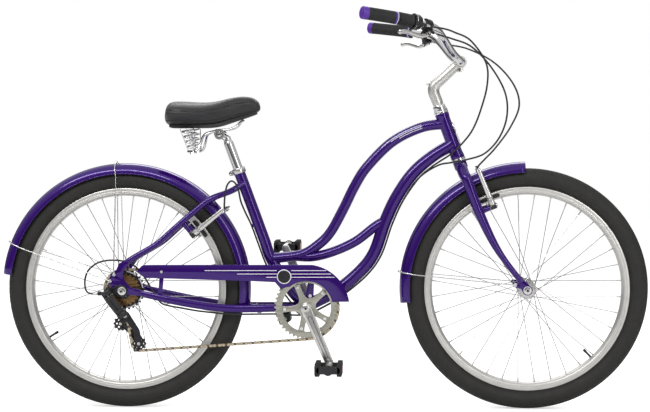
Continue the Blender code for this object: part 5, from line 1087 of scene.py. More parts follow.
# points along each housing, from lever or shifter to its stop
frontBrakeRoute = [
    (0.8633, 0.2251, 1.033), (0.879, 0.208, 1.0285), (0.905, 0.175, 1.022), (0.965, 0.115, 1.006),
    (1.035, 0.055, 0.965), (1.085, 0.005, 0.905), (1.1, -0.035, 0.845), (1.075, -0.062, 0.785),
    (1.035, -0.075, 0.73), (1.005, -0.076, 0.698), (0.989, -0.069, 0.681), (0.9852, -0.058, 0.674),
    (0.985, -0.045, 0.6735), (0.985, 0, 0.6735), (0.985, 0.054, 0.6735),
]
rearBrakeRoute = [
    (0.8633, -0.2251, 1.033), (0.879, -0.208, 1.0285), (0.915, -0.165, 1.02), (0.966, -0.112, 1.002),
    (1.02, -0.068, 0.95), (1.06, -0.05, 0.88), (1.066, -0.042, 0.815), (1.045, -0.038, 0.755),
    (1.005, -0.036, 0.712), (0.955, -0.034, 0.695), (0.915, -0.02, 0.687), (0.876, 0.003, 0.678),
    (0.8237, 0.006, 0.643), (0.7806, 0.006, 0.5816), (0.7497, 0.006, 0.515), (0.7179, 0.006, 0.427),
    (0.6737, 0.006, 0.368), (0.6037, 0.006, 0.311), (0.56, 0.006, 0.285), (0.5118, 0.006, 0.262),
    (0.486, 0.003, 0.265), (0.4745, 0, 0.281), (0.463, 0, 0.298), (0.443, 0, 0.325), (0.429, 0, 0.348),
    (0.409, 0, 0.379), (0.3925, 0, 0.4098), (0.3735, 0, 0.4618), (0.3545, 0, 0.5139), (0.34, -0.018, 0.55),
    (0.33, -0.04, 0.582), (0.325, -0.05, 0.612), (0.317, -0.054, 0.632), (0.305, -0.057, 0.639),
    (0.294, -0.06, 0.626), (0.289, -0.065, 0.6), (0.2868, -0.064, 0.575), (0.286, -0.056, 0.5635),
    (0.286, -0.043, 0.5625), (0.286, 0, 0.5625), (0.286, 0.054, 0.5625),
]
shiftRoute = [
    (0.8441, -0.2629, 1.051), (0.8584, -0.253, 1.0479), (0.893, -0.215, 1.044), (0.92, -0.175, 1.037),
    (0.965, -0.108, 1.018), (1.008, -0.06, 0.96), (1.012, -0.042, 0.9), (0.994, -0.036, 0.83),
    (0.972, -0.034, 0.777), (0.944, -0.032, 0.74), (0.915, -0.028, 0.712), (0.882, -0.013, 0.69),
    (0.856, -0.007, 0.672), (0.8237, -0.006, 0.643), (0.7806, -0.006, 0.5816), (0.7497, -0.006, 0.515),
    (0.7179, -0.006, 0.427), (0.6737, -0.006, 0.368), (0.6037, -0.006, 0.311), (0.56, -0.006, 0.285),
    (0.5118, -0.008, 0.262), (0.49, -0.02, 0.262), (0.469, -0.033, 0.264), (0.44, -0.035, 0.2665),
    (0.4198, -0.036, 0.267), (0.38, -0.039, 0.267), (0.3, -0.044, 0.2675), (0.215, -0.053, 0.2765),
    (0.16, -0.058, 0.2865), (0.13, -0.059, 0.292), (0.106, -0.0545, 0.3), (0.086, -0.051, 0.327),
    (0.06, -0.05, 0.37), (0.035, -0.05, 0.4), (0.005, -0.0505, 0.415), (-0.035, -0.054, 0.419),
    (-0.07, -0.0575, 0.412), (-0.096, -0.0575, 0.392), (-0.106, -0.058, 0.368), (-0.105, -0.066, 0.347),
    (-0.097, -0.079, 0.333), (-0.082, -0.087, 0.3285), (-0.067, -0.0885, 0.3285),
]


def makeCable(name, node, body, route):
    # a round housing along the route, with a turned ferrule at each end
    run = curveThrough(route, 0.004)
    cable = Piece(name).put(tube(run, 0.0025, 14, seed=upward), "cableSkin")
    ferrule = [(0.0026, 0.0002), (0.0033, 0.0006), (0.0033, 0.011), (0.0028, 0.012)]
    for end, inner in ((run[0], run[3]), (run[-1], run[-4])):
        cable.put(turned(end, ferrule, unit(inner - end), 16), "castAlloy")
    cable.done(body, node, slot="black_plastic")


makeCable("frontBrakeCable", "front_brake_cable", "steering", frontBrakeRoute)
# the other two run along the bar at their start and along the frame beyond it
turning = ("steering", "frame_body", (1.02, -0.05, 0.95), (0.915, -0.02, 0.69))
makeCable("rearBrakeCable", "rear_brake_cable", turning, rearBrakeRoute)
makeCable("shiftCable", "shift_cable", turning, shiftRoute)


def makeBrakeArm(word, axle, sideWord):
    # an arm swept outward from its stud, with a shoe that faces the rim
    side = sides[sideWord]
    outward, root = brakeFrame(axle, brakeShape[word])
    hinge = studAt(axle, outward, side)
    arm = Piece(word + "BrakeArm" + sideWord.title())
    # out from the stud, aside from the wheel's plane, and the radius
    levels = [
        (0.0, 0.043, 0.0092), (0.012, 0.0446, 0.0086), (0.03, 0.0466, 0.008), (0.07, 0.0508, 0.007),
        (0.1, 0.0534, 0.0064), (0.112, 0.054, 0.006),
    ]
    climb, aside, sizes = np.array(levels).T[..., None]
    run = hinge + climb * outward + side * (aside - brakeShape["studSide"]) * sideways
    arm.put(tapered(run, sizes, 0.003, 24, 0.55), "alloy")
    arm.put(turned(hinge, bush(0.0037, 0.0078, -0.009, 0.0085), root, 28, True), "blackResin")
    arm.put(turned(hinge, bush(0.0037, 0.0062, -0.0092, -0.0086), root, 28, True), "chrome")
    spring = [
        hinge + 0.005 * root + side * 0.007 * sideways,
        hinge + 0.04 * outward + side * 0.009 * sideways - 0.002 * root
    ]
    arm.put(tube(curveThrough(spring, 0.004), 0.0008, 8), "chrome")
    pad = axle + brakeShape["padReach"] * outward
    for box, near, far, edge, look in (
        ((0.056, 0.0105, 0.004), brakeShape["padInner"], 0.0236, 0.0012, "padRubber"),
        ((0.058, 0.0085, 0.0036), 0.0232, 0.027, 0.0008, "blackMetal"),
    ):
        arm.put(slab([roundedBox(*box)], *span(side, near, far), pad, -root, outward, edge), look)
    groove, face = [roundedBox(0.002, 0.0098, 0.0008)], side * brakeShape["padInner"]
    for k in (-1, 0, 1):
        place = pad + 0.014 * k * root
        arm.put(slab(groove, face - 0.0003, face + 0.0003, place, -root, outward, 0.0002), "blackMetal")
    arm.put(rod(pad + side * 0.026 * sideways, pad + side * 0.052 * sideways, 0.0034, 16), "castAlloy")
    arm.nut(pad + side * 0.05 * sideways, side * sideways, 0.0058, 0.0042, "chrome")
    bolt = axle + (brakeShape["studReach"] + 0.107) * outward + side * 0.054 * sideways
    arm.bolt(bolt - 0.004 * root, -root, 0.0046, 0.004, "chrome")
    arm.put(rod(bolt - 0.004 * root, bolt + 0.006 * root, 0.0026, 12), "chrome")
    arm.done(f"{word}_brake_{sideWord}", f"{word}_brake_arm_{sideWord}", slot="alloy")


for sideWord in sides:
    makeBrakeArm("front", frontAxle, sideWord)
    makeBrakeArm("rear", rearAxle, sideWord)
print("brakes and cables set")


drive = {
    "ringTeeth": 44, "ringY": -0.046, "boltCircle": 0.06, "crank": 0.17, "crankFaces": (0.065, 0.0785),
    "cogTeeth": (28, 24, 22, 20, 18, 16, 14), "cogY": -0.0315, "spacing": 0.005, "pulleyTeeth": 10,
}
guideAxle = rearAxle + point(-0.012, 0, -0.096)
tensionAxle = rearAxle + point(0.039, 0, -0.152)
cageHinge = rearAxle + point(0.004, 0, -0.071)
armAngles = 113 + 72 * np.arange(5)


def toothed(teeth):
    return gear(teeth, pitchRadius(teeth) - 0.0045, pitchRadius(teeth) + 0.001)


def scallop(inner, outer, start, end):
    # the outline between two arcs about the middle
    return np.vstack((arcPoints((0, 0), outer, start, end, 10), arcPoints((0, 0), inner, end, start, 10)))


def spiderOutline():
    # each arm's half width by radius, run out along one side and back along the other, five times round
    edge = [
        (0.021, 0.0148), (0.0235, 0.0124), (0.0275, 0.0101), (0.034, 0.0085), (0.043, 0.0077),
        (0.054, 0.0077), (0.0605, 0.0084), (0.065, 0.0074), (0.0676, 0.0045),
    ]
    arm = np.vstack((facing(edge, -1), edge[::-1]))
    turns = ((math.cos(t), math.sin(t)) for t in np.radians(armAngles))
    return np.vstack([arm @ np.array(((x, y), (-y, x))) for x, y in turns])


def makeChainring():
    # a toothed plate with five lugs inside it, each with a turned bolt boss
    disc = Piece("ringDisc")
    y = drive["ringY"]
    outlines = [toothed(drive["ringTeeth"]), ring(0.068, 90)]
    disc.put(slab(outlines, y - 0.001, y + 0.001, bottomBracket, edge=0.0004), "ringAlloy")
    for angle in armAngles:
        lug = strap(*(polar(point(0, 0, 0), r, angle)[[0, 2]] for r in (0.062, 0.0735)), 0.008, 0.011)
        disc.put(slab([lug], y - 0.0009, y + 0.0009, bottomBracket, edge=0.0004), "ringAlloy")
    boss = bush(0.004, 0.0078, -0.0471, -0.0449)
    for angle in armAngles:
        spot = polar(bottomBracket, drive["boltCircle"], angle)
        disc.put(turned(spot, boss, around=24, looped=True), "castAlloy")
    disc.done("crankset", "chainring", slot="alloy")


def makeCrank(word, side, eye):
    # a tapered strap from the bracket to the pedal's eye, with a sunk line and turned ends
    out = unit(eye - bottomBracket)[[0, 2]]
    crank = Piece("crank" + word.title())
    outline = strap((0, 0), drive["crank"] * out, 0.0152, 0.0112, 24)
    metal = "castAlloy" if side > 0 else "alloy"
    crank.put(slab([outline], *span(side, *drive["crankFaces"]), bottomBracket, edge=0.0035), metal)
    groove = [strap(0.03 * out, 0.145 * out, *ends, 12) for ends in ((0.0062, 0.004), (0.0048, 0.0028))]
    crank.put(slab(groove, *span(side, 0.0782, 0.0789), bottomBracket, edge=0.0002), "blackMetal")
    boss = [(0.009, 0.0425), (0.014, 0.0425), (0.0155, 0.046), (0.0155, 0.067), (0.009, 0.067)]
    crank.put(turned(bottomBracket, facing(boss, side), around=40, looped=True), "castAlloy")
    for place, profile, around, look in (
        (bottomBracket, [(0.011, 0.078), (0.011, 0.08), (0.009, 0.0812), (0.004, 0.0816)], 32, "castAlloy"),
        (bottomBracket, [(0.0036, 0.0812), (0.0036, 0.0819)], 6, "blackMetal"),
        (eye, [(0.0098, 0.0782), (0.0098, 0.0794), (0.007, 0.0798)], 28, "castAlloy"),
    ):
        crank.put(turned(place, facing(profile, side), around=around), look)
    crank.put(rod(eye + side * 0.069 * sideways, eye + side * 0.179 * sideways, 0.0045), "chrome")
    if side < 0:
        crank.put(slab([spiderOutline()], -0.054, -0.0474, bottomBracket, edge=0.0014), "ringAlloy")
        for angle in armAngles:
            spot = polar(bottomBracket, drive["boltCircle"], angle, -0.0538)
            crank.bolt(spot, -sideways, 0.0048, 0.0026, "chrome")
    crank.done("crankset", "crank_" + word, slot="alloy")


pedalShape = {"inner": 0.095, "outer": 0.185, "middle": 0.14, "block": 0.03, "ribs": 7, "ribPitch": 0.0123}


def makePedal(word, side, eye):
    # a lathed barrel between two cage plates, with a ribbed rubber block and a reflector front and back
    pedal = Piece("pedal" + word.title())
    inner, ribs = pedalShape["inner"], pedalShape["ribs"]
    low, high = span(side, inner, pedalShape["outer"])
    barrel = [
        (0.0062, low), (0.011, low), (0.0125, low + 0.004), (0.0112, low + 0.016), (0.0112, high - 0.016),
        (0.0125, high - 0.004), (0.011, high), (0.0062, high)
    ]
    pedal.put(turned(eye, barrel, around=32, looped=True), "castAlloy")
    plate = [strap((-0.023, 0), (0.023, 0), 0.0102, 0.0102), ring(0.0064, 20)]
    for near in (inner, 0.182):
        pedal.put(slab(plate, *span(side, near, near + 0.003), eye, edge=0.0008), "blackResin")
    rib, lens = roundedBox(0.013, 0.0024, 0.0008), roundedBox(0.046, 0.017, 0.002)
    for end in (-1, 1):
        middle = eye + point(end * pedalShape["block"], side * pedalShape["middle"], 0)
        pedal.put(slab([roundedBox(0.014, 0.033, 0.0066)], -0.045, 0.045, middle, edge=0.002), "padRubber")
        for k in range(ribs):
            for way in (-1, 1):
                spot = middle + point(0, pedalShape["ribPitch"] * (k - ribs // 2), way * 0.016)
                pedal.put(slab([rib], -0.0034, 0.0034, spot, edge=0.0005), "padRubber")
        face = middle + point(end * 0.0066, 0, 0)
        pedal.put(slab([lens], -0.0012, 0.0012, face, sideways, upward, 0.0006), "amber")
        surround = [roundedBox(0.05, 0.0205, 0.0024), lens]
        pedal.put(slab(surround, -0.0014, 0.0014, face, sideways, upward, 0.0005), "blackResin")
    cap = [(0.0142, 0.182), (0.0142, 0.1856), (0.011, 0.1866), (0.005, 0.187)]
    pedal.put(turned(eye, facing(cap, side), around=24), "blackResin")
    pedal.done(word + "_pedal", "pedal_" + word, slot="black_plastic")


def makeCup(word, side):
    # the bracket's cup: a turned rim with eight tool notches, and the thread inside
    face = 0.0342 if side > 0 else 0.0362
    rim = [
        (0.01, face), (0.0203, face), (0.0203, face + 0.0018), (0.0188, face + 0.003), (0.01, face + 0.0032)
    ]
    cup = Piece("bottomCup" + word.title())
    cup.put(turned(bottomBracket, facing(rim, side), around=40, looped=True), "blackMetal")
    for k in range(8):
        notch = polar(bottomBracket, 0.0165, 45 * k, side * (face + 0.003))
        cup.put(turned(notch, [(0.0012, -0.0006), (0.0012, 0.0006)], around=10), "castAlloy")
    thread = facing(bush(0.01, 0.015, face - 0.012, face), side)
    cup.put(turned(bottomBracket, thread, around=32, looped=True), "blackMetal")
    cup.done("frame_body", "bb_cup_" + word, slot="black_plastic")


def makeCranks():
    for word, side in sides.items():
        eye = bottomBracket - side * point(0.066424, 0, -0.156486)
        makeCrank(word, side, eye)
        makePedal(word, side, eye)
        makeCup(word, side)
    spindle = [
        (0.006, -0.06), (0.0084, -0.057), (0.0084, -0.03), (0.0078, -0.026), (0.0078, 0.026), (0.0084, 0.03),
        (0.0084, 0.057), (0.006, 0.06)
    ]
    piece = Piece("spindle").put(turned(bottomBracket, spindle, around=28), "chrome")
    piece.done("crankset", "bb_spindle", slot="alloy")


def makeCogs():
    # toothed plates in a row, the larger ones pierced, with spacers between them and a body inside
    cogs = Piece("cogs")
    for number, teeth in enumerate(drive["cogTeeth"]):
        middle = drive["cogY"] - drive["spacing"] * number
        outlines = [toothed(teeth), ring(0.0236, 40)]
        if number == 0:
            outlines += [scallop( 0.0385, 0.0445, 60 * k + 6, 60 * k + 50) for k in range(6)]
        elif number < 3:
            outlines += [ring(0.0028, 14, spot) for spot in ring(pitchRadius(teeth) - 0.0115, 8)]
        look = "blackMetal" if number < 2 else "bronze"
        cogs.put(slab(outlines, middle - 0.0009, middle + 0.0009, rearAxle, edge=0.0003), look)
        if number == 0:
            for k in range(8):
                mark = scallop( 0.0494, 0.0528, 45 * k + 5, 45 * k + 38)
                cogs.put(slab([mark], middle - 0.0012, middle - 0.0008, rearAxle, edge=0.0001), "stripe")
        else:
            spacer = bush(0.0228, 0.0262, middle + 0.001, middle + 0.004)
            cogs.put(turned(rearAxle, spacer, around=40, looped=True), "bronze")
    body = [
        (0.0142, -0.028), (0.0235, -0.028), (0.0235, -0.0628), (0.0224, -0.0636), (0.0205, -0.0636),
        (0.0203, -0.0622), (0.0142, -0.0622)
    ]
    cogs.put(turned(rearAxle, body, around=48, looped=True), "blackMetal")
    for k in range(12):
        spot = polar(rearAxle, 0.018, 30 * k, -0.0622)
        cogs.put(turned(spot, [(0.0014, -0.001), (0.0014, 0.0004)], around=10), "castAlloy")
    cogs.done("freewheel_cluster", "freewheel", slot="chain_steel")


def tangentPoints(c1, r1, c2, r2):
    # where a straight run leaves one circle and meets the next; a negative radius turns clockwise
    between = c2 - c1
    heading = math.atan2(between[1], between[0]) - math.asin((r2 - r1) / np.linalg.norm(between))
    left = np.array((-math.sin(heading), math.cos(heading)))
    return c1 - r1 * left, c2 - r2 * left


def chainLoop():
    # arcs round the ring, the largest cog and both pulleys, joined by their common tangents
    small = pitchRadius(drive["pulleyTeeth"])
    circles = [
        (bottomBracket[[0, 2]], pitchRadius(drive["ringTeeth"]), drive["ringY"]),
        (rearAxle[[0, 2]], pitchRadius(drive["cogTeeth"][0]), drive["cogY"]),
        (guideAxle[[0, 2]], -small, drive["cogY"]),
        (tensionAxle[[0, 2]], small, drive["cogY"]),
    ]
    runs = [tangentPoints(*here[:2], *there[:2]) for here, there in zip(circles, circles[1:] + circles[:1])]
    spots = []
    for i, (centre, radius, y) in enumerate(circles):
        start, end = runs[i - 1][1] - centre, runs[i][0] - centre
        first, last = math.atan2(start[1], start[0]), math.atan2(end[1], end[0])
        last += 2 * math.pi * ((radius > 0 and last < first) - (radius < 0 and last > first))
        turn = np.linspace(first, last, 60)
        x, z = centre[0] + abs(radius) * np.cos(turn), centre[1] + abs(radius) * np.sin(turn)
        spots.append(np.column_stack((x, np.full(60, y), z)))
    return np.vstack(spots + [spots[0][:1]])


def prisms(corners, count):
    # the faces of many prisms, each of whose points run round one end and then round the other
    base = np.arange(corners)
    walls = np.column_stack((base, (base + 1) % corners, (base + 1) % corners + corners, base + corners))
    offset = (2 * corners * np.arange(count))[:, None, None]
    lids = np.vstack((base[::-1] + offset[:, 0], base + corners + offset[:, 0]))
    return [(walls[None] + offset).reshape(-1, 4), lids]


def makeChain():
    # links at even pitches of the loop: each a template set in the frame (chord, upright, sideways)
    loop = chainLoop()
    length = lengthAlong(loop)
    count = 2 * round(length[-1] / (2 * chainPitch))
    pins = sampled(loop, length, np.linspace(0, length[-1], count, endpoint=False))
    after = np.roll(pins, -1, axis=0)
    middle, chord = (pins + after) / 2, unitRows(after - pins)
    rise = unitRows(np.cross(chord, sideways))
    axes = np.stack((chord, rise, np.broadcast_to(sideways, chord.shape)), axis=1)
    chain = Piece("chainLinks")
    half = [(0, 0.003), (0.003, 0.0033), (0.0052, 0.0039), (0.0078, 0.0036), (0.0098, 0.0021), (0.0102, 0)]
    half = np.array(half) * (0.98, 1)
    outline = np.vstack((half, half[-2::-1] * (1, -1), -half[1:], half[-2:0:-1] * (-1, 1)))
    # the inner links take a darker copy of the chain steel: painted shade, as real inner and outer links are
    # one colour
    for kind, gap, look in ((0, 0.003, "chainSteel"), (1, 0.0019, "chainDark")):
        rows = np.arange(kind, count, 2)
        for side in (1, -1):
            local = np.array([(x, z, side * (gap + inset)) for inset in (0.0, 0.0008) for x, z in outline])
            grid = middle[rows, None] + local @ axes[rows]
            chain.put((grid.reshape(-1, 3), prisms(len(outline), len(rows))), look)
    turn = np.linspace(0, 2 * np.pi, 10, endpoint=False)
    for radius, reach, look in ((0.0037, 0.0017, "bronze"), (0.0017, 0.0041, "castAlloy")):
        local = np.array([(radius * np.cos(t), radius * np.sin(t), y) for y in (-reach, reach) for t in turn])
        spots = pins[:, None] + local[None] @ np.array((forward, upward, sideways))
        chain.put((spots.reshape(-1, 3), prisms(10, count)), look)
    chain.done("frame_body", "chain", slot="chain_steel")


changer = {
    "fixed": (-0.034, 0, -0.014), "moved": (-0.006, 0, -0.058),
    "pins": {"outer": (-0.096, -0.076), "inner": (-0.081, -0.061)},
}
fixedPivot, movedPivot = rearAxle + changer["fixed"], rearAxle + changer["moved"]


def makeLink(word, axis):
    # two straps with pierced ends and a web between them; the outer one has a cover plate
    fixedY, movedY = changer["pins"][word]
    a, b = fixedPivot + fixedY * sideways, movedPivot + movedY * sideways
    heading, length, middle = unit(b - a), np.linalg.norm(b - a), (a + b) / 2
    link = Piece("derailleur" + word.title() + "Link")
    side = strap((-length / 2, 0), (length / 2, 0), 0.0042, 0.0042, 12)
    eyes = [ring(0.0021, 12, (end * length / 2, 0)) for end in (-1, 1)]
    thick = np.cross(axis, heading)
    for way in (-1, 1):
        faces = span(way, 0.0047, 0.0067)
        link.put(slab([side] + eyes, *faces, middle, heading, -thick, 0.0004), "blackMetal")
    web = [roundedBox(length - 0.01, 0.003, 0.0008)]
    link.put(slab(web, -0.0062, 0.0062, middle + 0.001 * thick, heading, -thick, 0.0006), "blackResin")
    if word == "outer":
        cover = [roundedBox(length + 0.004, 0.0265, 0.008), roundedBox(length - 0.02, 0.006, 0.002)]
        out = -np.sign(thick[1]) * thick
        link.put(slab(cover, -0.001, 0.001, middle + 0.0046 * out, heading, axis, 0.0005), "blackResin")
    link.done(word + "_link", "derailleur_" + word + "_link", slot="black_metal")


def makeKnuckle(name, centre, index, way, body, along, axis):
    # a moulded block between two cheeks that carry the links' pins
    ys = [changer["pins"][word][index] for word in ("outer", "inner")]
    middle = centre + (ys[0] + ys[1]) / 2 * sideways
    part = Piece("derailleur" + name)
    block, place = [roundedBox(0.015, 0.029, 0.005)], middle + way * 0.011 * along
    part.put(slab(block, -0.013, 0.013, place, along, sideways, 0.0016), "blackResin")
    cheek, head = [roundedBox(0.017, 0.024, 0.005)], [(0.003, -0.0004), (0.003, 0.001), (0.0016, 0.0014)]
    for end in (-1, 1):
        place = middle + way * 0.003 * along + end * 0.0113 * axis
        part.put(slab(cheek, -0.0013, 0.0013, place, along, sideways, 0.0005), "blackResin")
        for y in ys:
            part.put(turned(centre + y * sideways + end * 0.0124 * axis, head, end * axis, 14), "chrome")
    for y in ys:
        pin = centre + y * sideways
        part.put(rod(pin - 0.012 * axis, pin + 0.012 * axis, 0.0018, 12), "chrome")
    if index == 0:
        hangerParts(part, along)
    else:
        hinge = [(0.0042, -0.0582), (0.0075, -0.0582), (0.0087, -0.057), (0.0087, -0.0482), (0.0042, -0.0482)]
        part.put(turned(cageHinge, hinge, around=36, looped=True), "blackResin")
        part.put(turned(cageHinge, [(0.006, -0.059), (0.006, -0.058)], around=24), "castAlloy")
    part.done(body, "derailleur_" + name.lower(), slot="black_metal")


def hangerParts(part, along):
    # the claw on the axle, its bolt and the knurled adjuster that the cable enters
    claw = [
        (0.017, 0.0), (0.01, 0.015), (-0.006, 0.018), (-0.024, 0.01), (-0.044, 0.008), (-0.046, -0.006),
        (-0.03, -0.01), (-0.012, -0.016), (0.006, -0.017)
    ]
    part.put(slab([claw, ring(0.0052, 20)], -0.0758, -0.0729, rearAxle, edge=0.0008), "blackMetal")
    head = [(0.0062, -0.0012), (0.0062, 0.001), (0.003, 0.0012)]
    part.put(turned(rearAxle + point(-0.034, -0.0765, -0.002), head, -sideways, 20), "chrome")
    adjuster = rearAxle + point(-0.066, -0.0885, -0.006)
    reach = unit(fixedPivot - 0.0885 * sideways - 0.011 * along - adjuster)
    barrel = [(0.003, 0), (0.0052, 0.001), (0.0052, 0.01), (0.004, 0.0108), (0.004, 0.026)]
    part.put(turned(adjuster, barrel, reach, 20), "blackResin")
    for spot in ring(0.005, 10):
        ridge = adjuster + spot[0] * unit(np.cross(reach, sideways)) + spot[1] * sideways
        part.put(rod(ridge + 0.0015 * reach, ridge + 0.0095 * reach, 0.0007, 6, 0.0002), "blackResin")


def makeDerailleur():
    along = unit(movedPivot - fixedPivot)
    axis = np.cross(sideways, along)
    for word in changer["pins"]:
        makeLink(word, axis)
    makeKnuckle("Body", fixedPivot, 0, -1, "frame_body", along, axis)
    makeKnuckle("Knuckle", movedPivot, 1, 1, "moving_knuckle", along, axis)


def makeCage():
    # two plates, each made of straps laid end to end, that hold the pulleys' bolts
    cage = Piece("derailleurCage")
    guide, tension = ((spot - cageHinge)[[0, 2]] for spot in (guideAxle, tensionAxle))
    elbow, inner = (0.03, -0.045), (0.012, -0.05)
    outerLegs = (guide, (0, 0), 0.008, 0.01), ((0, 0), elbow, 0.01, 0.0085), (elbow, tension, 0.0085, 0.011)
    innerLegs = (guide, inner, 0.008, 0.007), (inner, tension, 0.007, 0.011)
    for low, high, legs in ((-0.0392, -0.0377, outerLegs), (-0.0253, -0.0238, innerLegs)):
        for number, leg in enumerate(legs):
            lift = 0.00004 * number
            cage.put(slab([strap(*leg)], low + lift, high - lift, cageHinge, edge=0.0005), "blackMetal")
    tail = [roundedBox(0.016, 0.012, 0.002), roundedBox(0.008, 0.005, 0.0015)]
    cage.put(slab(tail, -0.0391, -0.0378, tensionAxle + point(-0.007, 0, -0.0165), edge=0.0004), "blackMetal")
    cage.put(turned(cageHinge, [(0.0038, -0.052), (0.0038, -0.038)], around=20), "chrome")
    for spot in (guideAxle, tensionAxle):
        cage.put(rod(spot - 0.0385 * sideways, spot - 0.024 * sideways, 0.0024, 16), "chrome")
        cage.bolt(spot - 0.039 * sideways, -sideways, 0.0046, 0.0018, "castAlloy")
    cage.done("cage", "derailleur_cage", slot="black_metal")


def makePulley(word, spot):
    teeth = drive["pulleyTeeth"]
    pulley = Piece(word + "Pulley")
    holes = [ring(0.0035, 20)] + [ring(0.0027, 12, hole) for hole in ring(0.0112, 6)]
    outline = gear(teeth, pitchRadius(teeth) - 0.0034, pitchRadius(teeth) + 0.0006, 0.2)
    pulley.put(slab([outline] + holes, -0.0328, -0.0302, spot, edge=0.0005), "blackResin")
    pulley.put(turned(spot, bush(0.0027, 0.006, -0.0373, -0.0257), around=28, looped=True), "castAlloy")
    pulley.done(word + "_wheel", word + "_pulley", slot="black_plastic")


guardShape = {"top": 0.4065, "outer": 0.1205, "inner": 0.074, "badge": (0.451, -0.0606, 0.3735)}


def makeGuard():
    # one outline of straight runs and two arcs about the bracket, given a thickness
    piece = Piece("guardPlate")
    top, cx, cz = guardShape["top"], bottomBracket[0], bottomBracket[2]
    outline = [
        [
            (0.062, top - 0.0365), (0.041, top - 0.0215), (0.0395, top - 0.0185), (0.053, top - 0.003),
            (0.06, top - 0.0006), (0.085, top), (cx - 0.02, top)
        ],
        arcPoints((cx, cz), guardShape["outer"], 82, 8, 26),
        [(cx + 0.066, cz + 0.0165)],
        arcPoints((cx, cz), guardShape["inner"], 14, 128, 30),
        [
            (cx - 0.058, cz + 0.056), (cx - 0.067, cz + 0.053), (cx - 0.077, cz + 0.06),
            (cx - 0.086, cz + 0.071), (cx - 0.147, cz + 0.074)
        ],
    ]
    piece.put(slab([np.vstack(outline)], -0.0606, -0.059, edge=0.0007), "paint")
    badge = point(*guardShape["badge"])
    for height, start, end in ((0.1035, 0.23, 0.056), (0.094, 0.32, 0.0695), (0.085, 0.401, 0.079)):
        z = cz + height
        for a, b in ((start, badge[0] - 0.02), (badge[0] + 0.02, cx + end)):
            x = np.linspace(a, b, 8)
            line = np.column_stack((np.append(x, x[::-1]), np.repeat((z - 0.0009, z + 0.0009), 8)))
            piece.put(slab([line], -0.0609, -0.0605, edge=0.0001), "stripe")
    for look, profile in (
        ("stripe", [(0.02, 0.0004), (0.02, -0.0004), (0.0188, -0.0009), (0.018, -0.0006)]),
        ("blackMetal", [(0.0176, 0.0), (0.0176, -0.0009), (0.012, -0.0016), (0.004, -0.0018)]),
    ):
        piece.put(turned(badge, profile, around=64), look)
    piece.bolt(point(0.109, -0.0602, 0.387), -sideways, 0.0046, 0.0028, "chrome")
    piece.put(turned(point(0.109, 0, 0.387), [(0.0045, -0.059), (0.0045, -0.0584)], around=20), "paint")
    piece.done("frame_body", "chainguard", slot="purple_paint")


makeChainring()
makeCranks()
makeCogs()
makeChain()
makeDerailleur()
makeCage()
makePulley("guide", guideAxle)
makePulley("tension", tensionAxle)
makeGuard()
print("drivetrain assembled")


saddleClamp = seatAt(0.505)
saddleShape = {"springY": 0.058, "coils": 4, "wire": 0.0023, "crease": 0.0026, "channel": 0.0022}
# x along the saddle, half its width, and the height of its crown and of its edge
saddleRows = np.array(
    [
        (-0.163, 0.062, 0.074, 0.031), (-0.157, 0.086, 0.0905, 0.027), (-0.143, 0.102, 0.098, 0.024),
        (-0.112, 0.108, 0.0985, 0.0235), (-0.08, 0.104, 0.0965, 0.0235), (-0.048, 0.088, 0.096, 0.024),
        (-0.018, 0.064, 0.1, 0.028), (0.014, 0.043, 0.1075, 0.037), (0.046, 0.032, 0.1115, 0.047),
        (0.074, 0.0275, 0.1085, 0.056), (0.09, 0.022, 0.098, 0.062), (0.096, 0.012, 0.086, 0.068),
    ]
)


def makeCollar():
    # a lathed band round the seat tube, drawn together by a bolt through two lugs behind it
    low = seatAt(0.395)
    collar = Piece("seatCollar")
    band = [(0.0162, 0), (0.0184, 0), (0.0191, 0.0012), (0.0191, 0.0143), (0.0184, 0.0155), (0.0138, 0.0155)]
    collar.put(turned(low, band, steerUp, 48), "alloy")
    behind = low + 0.008 * steerUp - 0.0219 * steerAhead
    lug = [roundedBox(0.01, 0.013, 0.003)]
    for side in (1, -1):
        place = behind + side * 0.0048 * sideways
        collar.put(slab(lug, -0.003, 0.003, place, steerAhead, steerUp, 0.001), "alloy")
        collar.nut(behind + side * 0.0085 * sideways, side * sideways, 0.0052, 0.0042, "chrome")
    collar.put(rod(behind - 0.012 * sideways, behind + 0.012 * sideways, 0.0028, 14), "chrome")
    collar.done("frame_body", "seat_collar", slot="alloy")


def makePost():
    # a lathed post with a shoulder, and a saddle clamp of two turned jaws on a cross bolt
    post = Piece("seatPost")
    start = seatAt(0.301)
    length = np.linalg.norm(saddleClamp - 0.021 * steerUp - start)
    profile = [
        (0.0128, 0), (0.0136, 0.001), (0.0136, length), (0.013, length + 0.003), (0.0112, length + 0.007),
        (0.011, length + 0.019)
    ]
    post.put(turned(start, profile, steerUp, 44), "chrome")
    grip = saddleClamp + point(-0.016, 0, 0.007)
    post.put(rod(saddleClamp - 0.006 * steerUp, grip, 0.0108), "chrome")
    jaw = [
        (0.004, -0.0062), (0.0136, -0.0062), (0.015, -0.0045), (0.015, 0.0045), (0.0136, 0.0062),
        (0.004, 0.0062)
    ]
    ear = [roundedBox(0.022, 0.005, 0.002)]
    for y in (-0.0205, 0.0205):
        post.put(turned(grip + y * sideways, jaw, around=40, looped=True), "castAlloy")
        post.put(slab(ear, -0.005, 0.005, grip + point(0, y, 0.012), edge=0.001), "castAlloy")
    post.put(rod(grip - 0.03 * sideways, grip + 0.03 * sideways, 0.0038, 16), "chrome")
    for side in (1, -1):
        post.nut(grip + side * 0.0272 * sideways, side * sideways, 0.0078, 0.0062, "chrome")
    post.done("seatpost_unit", "seatpost", slot="alloy")


